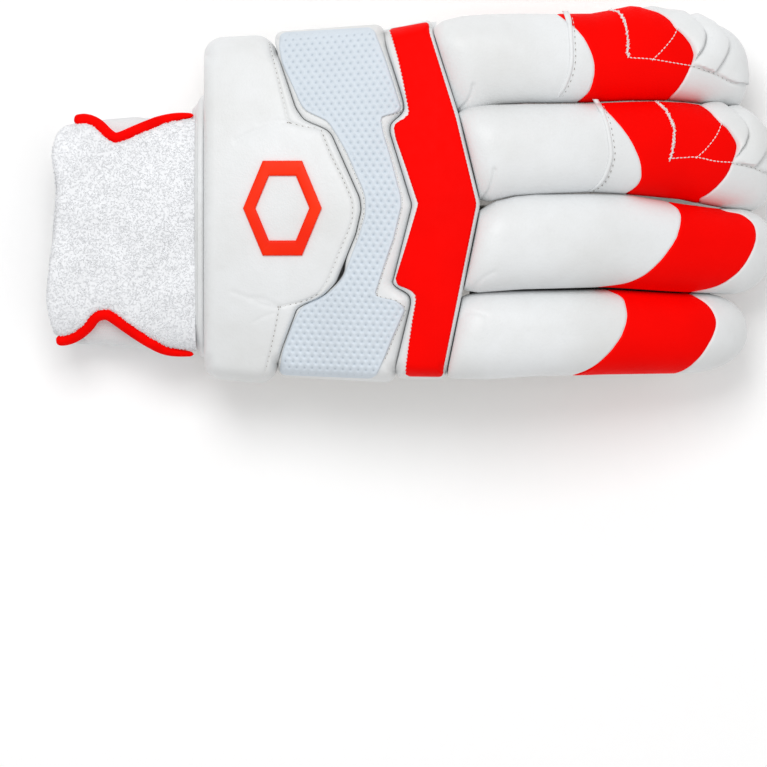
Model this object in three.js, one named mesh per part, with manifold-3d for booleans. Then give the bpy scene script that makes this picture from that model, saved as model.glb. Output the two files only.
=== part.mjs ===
// A right-hand cricket batting glove that lies palm down, with its thumb tucked under the palm.
// Millimetres. +X runs from the cuff to the fingertips, +Y to the index side and +Z up.
// The glove is laid out in a plan frame with y = 0 on the centre line of the back pads,
// and moved at the end so that the origin is at the bottom centre of its box.
import * as THREE from "three";
import { mergeVertices } from "three/addons/utils/BufferGeometryUtils.js";
import Module from "manifold-3d";

const wasm = await Module();
wasm.setup();

// Driving dimensions
const GAP = 0.3; // between a piece and what carries it
const SEAM_GAP = 0.9; // between neighbouring back pads, along x
const WALL = 2; // leather and lining

const PAD_REAR_X = -85.7; // wrist edge of the wrist pad
const BACK_LENGTH = 116; // from that edge to the point of the knuckle band
const BACK_HALF = 75; // half the width that the pads' outline shares refer to
const WRIST_CREST = 45; // height of the hand's back at the wrist
const KNUCKLE_CREST = 60; // and at the knuckles
const WRIST_DROOP = 16; // how far the back has fallen at BACK_HALF, at the wrist
const KNUCKLE_DROOP = 9; // and at the knuckles

const WRIST_PAD_THICK = 19;
const MID_PAD_THICK = 18;
const BAND_THICK = 20;
const PAD_SHOULDER = 6.5; // width of the rounded edge of a pad
const PAD_SKIRT = 3; // height of the upright edge under it
const PAD_CROWN = 1.2; // extra height in the middle of a pad
const PANEL_SEAT = 1.3; // under the facing panels of the mid pad and the band
const PANEL_THICK = 1.1;
const PANEL_RIM = 2.7; // how far the panels stay inside their pads
const MID_SIDE_BAND = 5; // and at the mid pad's knuckle side
const BAND_RIM = 2; // and at the band's finger side

const HAND_REAR_X = -91;
const HAND_LENGTH = 103;
const HAND_WIDTH = 148;
const PALM_RISE = 30.5; // height of the palm over the floor at the knuckles

const CUFF_LENGTH = 62;
const CUFF_WIDTH = 95.5; // across the open end
const CUFF_HEIGHT = 38;
const CUFF_SIDE = -9.5; // y of the cuff's middle
const CUFF_WALL = 2.2;
const TERRY_THICK = 4.5;
const PIPING_WIDTH = 3.6;
const WRIST_ROLL_WIDTH = 4.8;
const WRIST_ROLL_THICK = 6;
const STRAP_WIDTH = 28;
const STRAP_THICK = 2;

const FINGER_LENGTH = 140.4; // from the hand to the longest fingertip
const ROLL_WIDTH = 38;
const STALL_WIDTH = 31;
const STALL_HEIGHT = 24;
const ROLL_UPPER = 16; // roll height over its axis
const ROLL_LOWER = 12; // and under it
const ROLL_HEEL = 9; // length of the rounded end at the knuckle
const ROLL_NOSE = 24; // and at the fingertip
const WELT_WIDTH = 3;
const WELT_THICK = 1.4;

const THUMB_LENGTH = 108;
const THUMB_WIDTH = 28;
const THUMB_HEIGHT = 21;
const THUMB_REAR_X = -58;
const THUMB_SIDE = 42; // y of the thumb stall's middle, at its open end
const THUMB_PITCH = 0.13; // how steeply it runs down to the floor
const THUMB_CURL = 0.26; // how far it turns towards the palm
const THUMB_ROLL_UPPER = 9;
const THUMB_ROLL_LOWER = 6;
const BADGE_WIDTH = 46;
const BADGE_THICK = 1.6;

// Seams between the back pads, from the index side to the little side.
// across is a share of BACK_HALF, and along a share of BACK_LENGTH from the pads' wrist edge.
const WRIST_SEAM = [
  { across: 0.95, along: 0.256 },
  { across: 0.862, along: 0.268 },
  { across: 0.56, along: 0.333 },
  { across: 0.487, along: 0.366 },
  { across: 0.455, along: 0.431 },
  { across: 0.42, along: 0.46 },
  { across: 0.056, along: 0.565 },
  { across: -0.011, along: 0.57 },
  { across: -0.146, along: 0.55 },
  { across: -0.42, along: 0.478 },
  { across: -0.501, along: 0.427 },
  { across: -0.552, along: 0.34 },
  { across: -0.79, along: 0.282 },
  { across: -0.88, along: 0.268 },
];
const BAND_SEAM = [
  { across: 0.969, along: 0.655 },
  { across: 0.901, along: 0.663 },
  { across: 0.614, along: 0.72 },
  { across: 0.55, along: 0.727 },
  { across: 0.515, along: 0.71 },
  { across: 0.476, along: 0.677 },
  { across: 0.426, along: 0.673 },
  { across: 0.017, along: 0.754 },
  { across: -0.431, along: 0.681 },
  { across: -0.47, along: 0.735 },
  { across: -0.5, along: 0.749 },
  { across: -0.54, along: 0.748 },
  { across: -0.885, along: 0.695 },
];
const KNUCKLE_SEAM = [
  { across: 0.985, along: 0.829 },
  { across: 0.506, along: 0.925 },
  { across: 0.022, along: 1 },
  { across: -0.4535, along: 0.938 },
  { across: -0.901, along: 0.88 },
];
const REAR_EDGE = [{ across: 0, along: 0 }];

// The hand between wrist and knuckles. side and width are shares of HAND_WIDTH, rise of PALM_RISE.
const HAND = [
  { along: 0, side: -0.05, width: 0.72, rise: 0.09 },
  { along: 0.16, side: -0.04, width: 0.76, rise: 0.26 },
  { along: 0.34, side: -0.02, width: 0.84, rise: 0.54 },
  { along: 0.56, side: 0.0, width: 0.93, rise: 0.8 },
  { along: 0.78, side: 0.02, width: 0.98, rise: 0.94 },
  { along: 1, side: 0.034, width: 1, rise: 1 },
];

// The cuff from its open end to the hand, as shares of CUFF_WIDTH and CUFF_HEIGHT.
const CUFF = [
  { along: 0, width: 1, height: 0.95 },
  { along: 0.35, width: 0.99, height: 0.96 },
  { along: 0.7, width: 1.03, height: 1 },
  { along: 1, width: 1.08, height: 1.06 },
];

// Side edges of the terry panel, piping included, as shares of CUFF_WIDTH from the cuff's middle.
const TERRY = [
  { along: 0, index: 0.37, little: -0.45 },
  { along: 0.07, index: 0.41, little: -0.474 },
  { along: 0.13, index: 0.455, little: -0.479 },
  { along: 0.21, index: 0.49, little: -0.454 },
  { along: 0.3, index: 0.494, little: -0.418 },
  { along: 0.36, index: 0.477, little: -0.37 },
  { along: 0.42, index: 0.43, little: -0.366 },
  { along: 0.47, index: 0.409, little: -0.39 },
  { along: 0.56, index: 0.427, little: -0.434 },
  { along: 0.68, index: 0.469, little: -0.481 },
  { along: 0.83, index: 0.505, little: -0.526 },
  { along: 1, index: 0.515, little: -0.535 },
];

// How far the terry panel's rear edge stays inside the cuff's length, as shares of CUFF_LENGTH.
const TERRY_REAR = [
  { across: -0.45, inside: 0.06 },
  { across: -0.36, inside: 0.022 },
  { across: -0.25, inside: 0.008 },
  { across: -0.05, inside: 0.04 },
  { across: 0.14, inside: 0.07 },
  { across: 0.24, inside: 0.068 },
  { across: 0.34, inside: 0.042 },
  { across: 0.38, inside: 0.05 },
];

// Digits, index to little. side is y at the knuckle as a share of HAND_WIDTH, reach the fingertip's
// distance from the hand as a share of FINGER_LENGTH, and width and sway shares of ROLL_WIDTH. sway is
// how far the tip swings to the index side.
const FINGERS = [
  { name: "index", side: 0.43, width: 0.984, reach: 0.929, sway: -0.11 },
  { name: "middle", side: 0.169, width: 0.99, reach: 1, sway: -0.116 },
  { name: "ring", side: -0.0946, width: 1.01, reach: 0.9915, sway: -0.079 },
  { name: "little", side: -0.3588, width: 0.937, reach: 0.9195, sway: 0.066 },
];

// Cuts through the rolls. along is the distance from the hand to the cut on the roll's crest, as a
// share of FINGER_LENGTH. overY and overZ are the slopes of the cut, dx over dy and dx over dz.
const SLEEVES = {
  index: { start: { along: 0.47, overY: 0.27, overZ: 0.5 }, end: { along: 0.78, overY: 0.17, overZ: 1.5 } },
  middle: { start: { along: 0.598, overY: 0.4, overZ: 0.8 }, end: { along: 0.902, overY: 0, overZ: 1.5 } },
  ring: { start: { along: 0.694, overY: -0.67, overZ: 0.7 }, end: { along: 0.952, overY: -0.3, overZ: 1 } },
  little: { start: { along: 0.55, overY: -0.42, overZ: 0.6 }, end: { along: 0.833, overY: -0.17, overZ: 0.9 } },
};
const SHIELDS = {
  index: [{ along: 0.823, overY: 0.1, overZ: 1 }, { along: 0.88, overY: 0.2, overZ: 0.6 }],
  middle: [{ along: 0.937, overY: 0, overZ: 1 }, { along: 0.969, overY: 0, overZ: 0.5 }],
};
const WELTS = {
  index: { along: 0.42, overY: 0, overZ: 0.55 },
  middle: { along: 0.527, overY: 0, overZ: 0.55 },
};

const COLOURS = {
  white: 0xeff1f2,
  mesh: 0xdde7f1,
  red: 0xff0a02,
  terry: 0xf5f6f8,
  lining: 0xeef0f2,
  palm: 0xf1efea,
  badge: 0xff470a,
};

// Interpolation in the tables
function lerp(a, b, t) {
  return a + (b - a) * t;
}

function lookUp(rows, key, at, column) {
  const sorted = [...rows].sort((a, b) => a[key] - b[key]);
  if (at <= sorted[0][key]) return sorted[0][column];
  for (let i = 1; i < sorted.length; i++) {
    const [low, high] = [sorted[i - 1], sorted[i]];
    if (at <= high[key]) {
      return lerp(low[column], high[column], (at - low[key]) / (high[key] - low[key]));
    }
  }
  return sorted.at(-1)[column];
}

function seamX(seam, y) {
  return PAD_REAR_X + BACK_LENGTH * lookUp(seam, "across", y / BACK_HALF, "along");
}

// Height of the hand's back, which carries the pads and ends over the finger stalls.
function backHeight(x, y) {
  const along = THREE.MathUtils.clamp((x - HAND_REAR_X) / HAND_LENGTH, 0, 1);
  const crest = lerp(WRIST_CREST, KNUCKLE_CREST, along);
  const droop = lerp(WRIST_DROOP, KNUCKLE_DROOP, along);
  return crest - droop * (y / BACK_HALF) ** 2;
}

// Meshes from loops of points
function geometryOf(points, triangles) {
  const flat = new Float32Array(points.flatMap((p) => [p.x, p.y, p.z]));
  const geometry = new THREE.BufferGeometry();
  geometry.setAttribute("position", new THREE.BufferAttribute(flat, 3));
  let volume = 0;
  for (const [a, b, c] of triangles) {
    volume += points[a].dot(points[b].clone().cross(points[c]));
  }
  const facing = volume > 0 ? triangles : triangles.map(([a, b, c]) => [a, c, b]);
  geometry.setIndex(facing.flat());
  return geometry;
}

function ringWall(first, second, count, open = false) {
  const triangles = [];
  for (let i = 0; i < (open ? count - 1 : count); i++) {
    const j = (i + 1) % count;
    triangles.push([first + i, first + j, second + j], [first + i, second + j, second + i]);
  }
  return triangles;
}

// A solid through closed loops of equal length. flatten gives a loop's points in its own plane.
function loft(loops, flatten) {
  const count = loops[0].length;
  const triangles = [];
  for (let k = 1; k < loops.length; k++) {
    triangles.push(...ringWall((k - 1) * count, k * count, count));
  }
  for (const [k, flip] of [[0, true], [loops.length - 1, false]]) {
    const contour = loops[k].map(flatten);
    const forward = THREE.ShapeUtils.isClockWise(contour) !== flip;
    for (const [a, b, c] of THREE.ShapeUtils.triangulateShape(contour, [])) {
      const cap = [a + k * count, b + k * count, c + k * count];
      triangles.push(forward ? cap : cap.reverse());
    }
  }
  return closedGeometry(loops.flat(), triangles);
}

// Turns the caps round if they face the other way from the wall.
function closedGeometry(points, triangles) {
  const edges = new Set();
  const kept = [];
  const queue = [...triangles];
  for (const [a, b, c] of queue) {
    const clash = [[a, b], [b, c], [c, a]].some(([p, q]) => edges.has(p + ":" + q));
    const triangle = clash ? [a, c, b] : [a, b, c];
    const [p, q, r] = triangle;
    for (const edge of [[p, q], [q, r], [r, p]]) edges.add(edge.join(":"));
    kept.push(triangle);
  }
  return geometryOf(points, kept);
}

function fan(centre, first, count, forward) {
  return Array.from({ length: count }, (_, i) => {
    const j = (i + 1) % count;
    return forward ? [centre, first + i, first + j] : [centre, first + j, first + i];
  });
}

// A solid with rounded ends: rings of points, and the point that closes each end.
function roundedLoft(rings, startPoint, endPoint) {
  const count = rings[0].length;
  const points = [...rings.flat(), startPoint, endPoint];
  const triangles = [];
  for (let k = 1; k < rings.length; k++) {
    triangles.push(...ringWall((k - 1) * count, k * count, count));
  }
  triangles.push(...fan(points.length - 2, 0, count, false));
  triangles.push(...fan(points.length - 1, (rings.length - 1) * count, count, true));
  return geometryOf(points, triangles);
}

// A stocking: outer and inner rings from the open end to the toe, each closed by a point.
function stocking(outer, outerToe, inner, innerToe) {
  const count = outer[0].length;
  const innerFirst = outer.length * count;
  const points = [...outer.flat(), ...inner.flat(), outerToe, innerToe];
  const triangles = [];
  for (let k = 1; k < outer.length; k++) {
    triangles.push(...ringWall((k - 1) * count, k * count, count));
  }
  for (let k = 1; k < inner.length; k++) {
    triangles.push(...ringWall(innerFirst + k * count, innerFirst + (k - 1) * count, count));
  }
  triangles.push(...ringWall(innerFirst, 0, count));
  triangles.push(...fan(points.length - 2, innerFirst - count, count, true));
  triangles.push(...fan(points.length - 1, innerFirst + (inner.length - 1) * count, count, false));
  return geometryOf(points, triangles);
}

// Cuts and joins
function solidOf(geometry) {
  const bare = geometry.clone();
  bare.deleteAttribute("normal");
  bare.deleteAttribute("uv");
  const merged = mergeVertices(bare, 1e-3);
  return new wasm.Manifold(
    new wasm.Mesh({
      numProp: 3,
      vertProperties: merged.attributes.position.array,
      triVerts: new Uint32Array(merged.index.array),
    }),
  );
}

function geometryFrom(solid) {
  const mesh = solid.getMesh();
  const positions = new Float32Array(mesh.numVert * 3);
  for (let i = 0; i < mesh.numVert; i++) {
    positions.set(mesh.vertProperties.subarray(i * mesh.numProp, i * mesh.numProp + 3), i * 3);
  }
  const geometry = new THREE.BufferGeometry();
  geometry.setAttribute("position", new THREE.BufferAttribute(positions, 3));
  geometry.setIndex(new THREE.BufferAttribute(new Uint32Array(mesh.triVerts), 1));
  return geometry;
}

// Keeps the side of a slanted cut through the point at that side names, back from it by half a gap.
function trim(solid, { overY, overZ }, point, side) {
  const normal = new THREE.Vector3(1, -overY, -overZ);
  const length = normal.length();
  const at = normal.dot(point) / length;
  normal.divideScalar(length).multiplyScalar(side);
  return solid.trimByPlane(normal.toArray(), at * side + GAP / 2);
}

const glove = new THREE.Group();

function addPiece(name, geometry, colour, roughness = 0.55) {
  geometry.computeVertexNormals();
  const material = new THREE.MeshStandardMaterial({
    color: COLOURS[colour],
    roughness,
    metalness: 0,
    flatShading: true,
  });
  const mesh = new THREE.Mesh(geometry, material);
  mesh.name = name;
  glove.add(mesh);
}

// Back pads
function shoulder(distance, width) {
  const t = THREE.MathUtils.clamp(distance / width, 0, 1);
  return (1 - (1 - t) ** 2.6) ** (1 / 2.6);
}

// y of each station of a pad: its ends, rounded corners and every corner of its seams.
function padStations(ends, corner, seams) {
  const [low, high] = ends;
  const near = [0, 0.12, 0.5, 1].map((share) => share * corner);
  const corners = near.flatMap((d) => [low + d, high - d]);
  const turns = seams.flat().map((row) => row.across * BACK_HALF);
  const inside = turns.filter((y) => y > low + corner + 0.5 && y < high - corner - 0.5);
  const even = Array.from({ length: 9 }, (_, i) => lerp(low, high, (i + 1) / 10));
  const all = [...corners, ...inside].sort((a, b) => a - b);
  const gaps = even.filter((y) => all.every((other) => Math.abs(other - y) > 5));
  const joined = [...all, ...gaps].sort((a, b) => a - b);
  return joined.filter((y, i) => i === 0 || y - joined[i - 1] > 0.3);
}

function cornerInset(y, [low, high], corner) {
  const d = Math.min(y - low, high - y);
  return d >= corner ? 0 : corner - Math.sqrt(corner ** 2 - (corner - d) ** 2);
}

// Height of a pad's top over the hand's back, at a distance from its long edge and from its end.
function padProfile(edge, end, thick) {
  const low = Math.min(edge, end);
  const round = shoulder(low, PAD_SHOULDER);
  return PAD_SKIRT + (thick - PAD_SKIRT) * round + PAD_CROWN * shoulder(low, 3 * PAD_SHOULDER);
}

function padGeometry({ rear, front, ends, corner, thick }) {
  const shares = [0, 0.12, 0.5, 1].map((share) => share * PAD_SHOULDER);
  const loops = padStations(ends, corner, [rear, front]).map((y) => {
    const inset = cornerInset(y, ends, corner);
    const left = seamX(rear, y) + SEAM_GAP / 2 + inset;
    const right = seamX(front, y) - SEAM_GAP / 2 - inset;
    const fit = Math.min(1, (right - left) / 2.4 / PAD_SHOULDER);
    const steps = shares.map((d) => d * fit);
    const xs = [...steps.map((d) => left + d), (left + right) / 2];
    xs.push(...steps.map((d) => right - d).reverse());
    const end = Math.min(y - ends[0], ends[1] - y);
    const top = xs.map((x) => {
      const edge = Math.min(x - left, right - x) / fit;
      return new THREE.Vector3(x, y, backHeight(x, y) + padProfile(edge, end, thick));
    });
    const handFront = THREE.MathUtils.clamp(HAND_REAR_X + HAND_LENGTH, left + 1, right - 1);
    const under = [right, handFront, left];
    return [...top, ...under.map((x) => new THREE.Vector3(x, y, backHeight(x, y)))];
  });
  return loft(loops, (p) => new THREE.Vector2(p.x, p.z));
}

// A facing panel that lies on a pad, kept in from the pad's seams by the insets.
function panelGeometry({ rear, front, ends, corner, thick }, rearInset, frontInset, endInset) {
  const innerEnds = [ends[0] + endInset, ends[1] - endInset];
  const inside = padStations(ends, corner, [rear, front])
    .filter((y) => y > innerEnds[0] + 0.5 && y < innerEnds[1] - 0.5);
  const loops = [innerEnds[0], ...inside, innerEnds[1]].map((y) => {
    const padInset = cornerInset(y, ends, corner);
    const inset = cornerInset(y, innerEnds, corner / 2);
    const padLeft = seamX(rear, y) + SEAM_GAP / 2 + padInset;
    const padRight = seamX(front, y) - SEAM_GAP / 2 - padInset;
    const fit = Math.min(1, (padRight - padLeft) / 2.4 / PAD_SHOULDER);
    const left = padLeft + rearInset + inset;
    const right = padRight - frontInset - inset;
    const xs = [0, 0.08, 0.2, 0.5, 0.8, 0.92, 1].map((share) => lerp(left, right, share));
    const end = Math.min(y - ends[0], ends[1] - y);
    const surface = (x, lift) => {
      const edge = Math.min(x - padLeft, padRight - x) / fit;
      return new THREE.Vector3(x, y, backHeight(x, y) + padProfile(edge, end, thick) + lift);
    };
    const top = xs.map((x) => surface(x, PANEL_SEAT + PANEL_THICK));
    const under = [...xs].reverse().map((x) => surface(x, PANEL_SEAT));
    return [...top, ...under];
  });
  return loft(loops, (p) => new THREE.Vector2(p.x, p.z));
}

// ends are shares of BACK_HALF.
const PADS = {
  wrist: {
    rear: REAR_EDGE, front: WRIST_SEAM, ends: [-0.969, 0.975], corner: 7, thick: WRIST_PAD_THICK,
  },
  mid: {
    rear: WRIST_SEAM, front: BAND_SEAM, ends: [-0.963, 1.025], corner: 6, thick: MID_PAD_THICK,
  },
  band: {
    rear: BAND_SEAM, front: KNUCKLE_SEAM, ends: [-0.947, 1.051], corner: 5, thick: BAND_THICK,
  },
};
for (const pad of Object.values(PADS)) pad.ends = pad.ends.map((share) => share * BACK_HALF);

function addPads() {
  addPiece("wrist_pad", padGeometry(PADS.wrist), "white");
  addPiece("mid_pad", padGeometry(PADS.mid), "white");
  addPiece("knuckle_band", padGeometry(PADS.band), "white");
  addPiece("mid_pad_panel", panelGeometry(PADS.mid, PANEL_RIM, MID_SIDE_BAND, PANEL_RIM), "mesh", 0.7);
  addPiece("knuckle_band_panel", panelGeometry(PADS.band, PANEL_RIM, BAND_RIM, PANEL_RIM), "red", 0.7);
  addPiece("wrist_pad_badge", badgeGeometry(), "badge", 0.4);
}

// A plain six-sided ring, moulded on the wrist pad.
function badgeGeometry() {
  const centreX = lerp(PAD_REAR_X, seamX(WRIST_SEAM, 0), 0.5);
  const ring = (share) => Array.from({ length: 6 }, (_, i) => {
    const angle = (i / 6) * 2 * Math.PI;
    const reach = (BADGE_WIDTH / 2) * share;
    return new THREE.Vector2(centreX + 0.72 * reach * Math.cos(angle), reach * Math.sin(angle));
  });
  const shape = new THREE.Shape(ring(1));
  shape.holes.push(new THREE.Path(ring(0.68).reverse()));
  const geometry = new THREE.ExtrudeGeometry(shape, { depth: 1, bevelEnabled: false });
  const position = geometry.attributes.position;
  for (let i = 0; i < position.count; i++) {
    const [x, y, level] = [position.getX(i), position.getY(i), position.getZ(i)];
    const seat = backHeight(x, y) + WRIST_PAD_THICK + PAD_CROWN + GAP;
    position.setZ(i, seat + level * BADGE_THICK);
  }
  return mergeVertices(geometryWithoutShading(geometry), 1e-3);
}

function geometryWithoutShading(geometry) {
  const bare = geometry.clone();
  bare.deleteAttribute("normal");
  bare.deleteAttribute("uv");
  return bare;
}

// Hand: shares across its half width, round its upper and its lower half
const UPPER_SHARES = [-1, -0.985, -0.9, -0.7, -0.4, 0, 0.4, 0.7, 0.9, 0.985, 1];
const LOWER_SHARES = [1, 0.985, 0.88, 0.6, 0.25, -0.25, -0.6, -0.88, -0.985, -1];

function handSection(along, inset) {
  const x = HAND_REAR_X + HAND_LENGTH * along;
  const middle = HAND_WIDTH * lookUp(HAND, "along", along, "side");
  const half = (HAND_WIDTH * lookUp(HAND, "along", along, "width")) / 2 - inset;
  const rise = PALM_RISE * lookUp(HAND, "along", along, "rise") + inset;
  const sideHeight = (backHeight(x, middle + half) + rise) / 2;
  const roof = (share) => {
    const y = middle + share * half;
    const round = (1 - Math.abs(share) ** 7) ** (1 / 3);
    const top = backHeight(x, y) - GAP - inset;
    return new THREE.Vector3(x, y, lerp(sideHeight, Math.max(top, sideHeight), round));
  };
  const floor = (share) => {
    const round = (1 - Math.abs(share) ** 5) ** (1 / 2.5);
    return new THREE.Vector3(x, middle + share * half, lerp(sideHeight, rise, round));
  };
  return { upper: UPPER_SHARES.map(roof), lower: LOWER_SHARES.map(floor) };
}

// Half of the hand's wall, from the outer points and back along the inner ones.
function handHalf(half, seamLift) {
  const loops = HAND.map(({ along }) => {
    const outer = handSection(along, 0)[half];
    const inner = handSection(along, WALL)[half].reverse();
    return [...outer, ...inner].map((p) => p.clone().setZ(p.z + seamLift * sideShare(p, outer)));
  });
  return loft(loops, (p) => new THREE.Vector2(p.y, p.z));
}

// 1 at the side seams of the hand and 0 elsewhere.
function sideShare(point, outer) {
  const reach = Math.min(Math.abs(point.y - outer[0].y), Math.abs(point.y - outer.at(-1).y));
  return reach < WALL + 0.1 ? 1 : 0;
}

function handFilled(grow) {
  const loops = HAND.map(({ along }) => {
    const { upper, lower } = handSection(along, -grow);
    return [...upper, ...lower.slice(1, -1)];
  });
  return solidOf(loft(loops, (p) => new THREE.Vector2(p.y, p.z)));
}

// Digits. Each lies on an arc in its own frame: x forward, y sideways and z up from the roll's axis.
// The bend that brings a finger's stall down to the floor.
function bendToFloor(digitAt) {
  let [low, high] = [0.1, 0.9];
  for (let i = 0; i < 14; i++) {
    const bend = (low + high) / 2;
    const digit = digitAt(bend);
    const stall = stallGeometry(digit);
    stall.computeBoundingBox();
    if (stall.boundingBox.min.z + digit.origin.z > GAP / 2) low = bend;
    else high = bend;
  }
  return low;
}

function superellipse(angle, halfWidth, upper, lower) {
  const [c, s] = [Math.cos(angle), Math.sin(angle)];
  const power = s > 0 ? 2.3 : 3;
  const high = s > 0 ? upper : lower;
  const y = halfWidth * Math.sign(c) * Math.abs(c) ** (2 / power);
  return [y, high * Math.sign(s) * Math.abs(s) ** (2 / power)];
}

function onArc(radius, angle, y, height) {
  const reach = radius + height;
  return new THREE.Vector3(reach * Math.sin(angle), y, reach * Math.cos(angle) - radius);
}

const ROLL_SIDES = 14;
const STALL_SIDES = 12;

// A ring of a digit, grown by grow and shrunk by share about the height middle.
function digitRing(digit, angle, sides, size, share, middle) {
  return Array.from({ length: sides }, (_, i) => {
    const around = ((i + 0.5) / sides) * 2 * Math.PI;
    const [y, z] = superellipse(around, size.half * share, size.upper * share, size.lower * share);
    const point = onArc(digit.radius, angle, y + digit.swayAt(angle), middle + z);
    point.x += digit.slantAt(y, angle);
    return point;
  });
}

// How much of the full section a rounded end has left at a share of its length.
function domeShare(t) {
  return Math.sqrt(1 - (1 - t) ** 2);
}

// The same for the squarer end at the knuckle.
function heelShare(t) {
  return (1 - (1 - t) ** 3.2) ** (1 / 3.2);
}

const DOME_STEPS = [0.03, 0.16, 0.42, 0.75, 1];
const HEEL_STEPS = [0.012, 0.1, 0.4, 1];

function rollGeometry(digit, grow) {
  const heel = HEEL_STEPS.map((t) => {
    return [digit.startAngle + (t * ROLL_HEEL) / digit.radius, heelShare(t)];
  });
  const nose = DOME_STEPS.map((t) => {
    return [digit.endAngle - (t * ROLL_NOSE) / digit.radius, domeShare(t)];
  });
  const [from, to] = [heel.at(-1)[0], nose.at(-1)[0]];
  const middle = [0.3, 0.65].map((t) => [lerp(from, to, t), 1]);
  const stations = [...heel, ...middle, ...nose.reverse()];
  const size = {
    half: digit.width / 2 + grow,
    upper: digit.upper + grow,
    lower: digit.lower + grow,
  };
  const rings = stations.map(([angle, share]) => {
    return digitRing(digit, angle, ROLL_SIDES, size, share, 0);
  });
  const start = onArc(digit.radius, digit.startAngle, digit.swayAt(digit.startAngle), 0);
  start.x += digit.slantAt(0, digit.startAngle);
  const end = onArc(digit.radius, digit.endAngle, digit.swayAt(digit.endAngle), 0);
  return roundedLoft(rings, start, end);
}

// The stall's outer or inner rings and toe. back draws its open end back into the hand.
function stallRings(digit, inset, back) {
  const nose = DOME_STEPS.filter((t) => t > 0.1);
  const length = 13 - inset;
  const toeAngle = digit.endAngle - (4 + inset) / digit.radius;
  const stations = [0, 0.34, 0.67].map((t) => [lerp(-back / digit.radius, toeAngle * 0.9, t), 1]);
  stations.push(...nose.reverse().map((t) => [toeAngle - (t * length) / digit.radius, t]));
  const size = {
    half: digit.stallWidth / 2 - inset,
    upper: digit.stallHeight / 2 - inset,
    lower: digit.stallHeight / 2 - inset,
  };
  const drop = -(digit.lower + GAP + digit.stallHeight / 2);
  return {
    rings: stations.map(([angle, t]) => {
      return digitRing({ ...digit, slantAt: () => 0 }, angle, STALL_SIDES, size, domeShare(t), drop);
    }),
    toe: onArc(digit.radius, toeAngle, digit.swayAt(toeAngle), drop),
  };
}

function stallGeometry(digit) {
  const outer = stallRings(digit, 0, 0);
  const inner = stallRings(digit, WALL, 0);
  return stocking(outer.rings, outer.toe, inner.rings, inner.toe);
}

function fingerAt(finger, bend) {
  const baseX = HAND_REAR_X + HAND_LENGTH + GAP;
  const side = finger.side * HAND_WIDTH;
  const edges = [-1, 1].map((s) => backHeight(baseX, side + (s * STALL_WIDTH) / 2));
  const stallTop = Math.min(...edges) - GAP;
  const radius = (finger.reach * FINGER_LENGTH) / Math.sin(bend);
  const start = seamX(KNUCKLE_SEAM, side) + SEAM_GAP;
  const startAngle = Math.asin((start - baseX) / radius);
  const fade = (angle) => Math.max(0, 1 - (angle - startAngle) / (0.55 * bend)) ** 2;
  const seamAt = (y) => seamX(KNUCKLE_SEAM, side + y) - seamX(KNUCKLE_SEAM, side);
  const sway = finger.sway * ROLL_WIDTH;
  return {
    width: finger.width * ROLL_WIDTH,
    upper: ROLL_UPPER,
    lower: ROLL_LOWER,
    stallWidth: STALL_WIDTH,
    stallHeight: STALL_HEIGHT,
    radius,
    startAngle,
    endAngle: bend,
    swayAt: (angle) => sway * Math.max(0, angle / bend - 0.35) ** 1.5,
    slantAt: (y, angle) => seamAt(y) * fade(angle),
    origin: new THREE.Vector3(baseX, side, stallTop + GAP + ROLL_LOWER),
  };
}

// The point on the crest of a roll that a cut goes through.
function crestPoint(digit, { along }) {
  const reach = digit.radius + digit.upper;
  const forward = along * FINGER_LENGTH;
  const fall = reach - Math.sqrt(reach ** 2 - forward ** 2);
  return digit.origin.clone().add(new THREE.Vector3(forward, 0, digit.upper - fall));
}

function addFinger(finger) {
  const bend = bendToFloor((trial) => fingerAt(finger, trial));
  const digit = fingerAt(finger, bend);
  const { x, y, z } = digit.origin;
  const roll = solidOf(rollGeometry(digit, 0).translate(x, y, z));
  const before = (solid, cut) => trim(solid, cut, crestPoint(digit, cut), -1);
  const after = (solid, cut) => trim(solid, cut, crestPoint(digit, cut), 1);
  const { start, end } = SLEEVES[finger.name];
  const tip = after(roll, end);
  addPiece(finger.name + "_stall", stallGeometry(digit).translate(x, y, z), "palm", 0.7);
  addPiece(finger.name + "_roll_base", geometryFrom(before(roll, start)), "white");
  addPiece(finger.name + "_roll_sleeve", geometryFrom(before(after(roll, start), end)), "red", 0.65);
  const shields = SHIELDS[finger.name];
  if (!shields) return addPiece(finger.name + "_roll_tip", geometryFrom(tip), "white");
  const [first, second] = shields;
  const rest = after(tip, first);
  [before(tip, first), before(rest, second), after(rest, second)].forEach((part, i) => {
    addPiece(finger.name + "_tip_shield_" + (i + 1), geometryFrom(part), "white");
  });
  addPiece(finger.name + "_welt", weltGeometry(digit, WELTS[finger.name]), "white");
}

// A raised seam that hoops over the base of a roll, down to the roll's axis.
function weltGeometry(digit, cut) {
  const { x, y, z } = digit.origin;
  const hoop = (grow) => solidOf(rollGeometry(digit, grow).translate(x, y, z));
  const band = hoop(GAP + WELT_THICK).subtract(hoop(GAP));
  const half = new THREE.Vector3(WELT_WIDTH / 2, 0, 0);
  const middle = crestPoint(digit, cut);
  const slab = trim(trim(band, cut, middle.clone().sub(half), 1), cut, middle.clone().add(half), -1);
  return geometryFrom(slab.trimByPlane([0, 0, 1], z));
}

// Cuff
const CUFF_SIDES = 24;
const CUFF_ANGLES = Array.from({ length: CUFF_SIDES }, (_, i) => ((i + 0.5) / CUFF_SIDES) * 2 * Math.PI);

function cuffX(along) {
  return HAND_REAR_X - GAP - CUFF_LENGTH * (1 - along);
}

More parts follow.
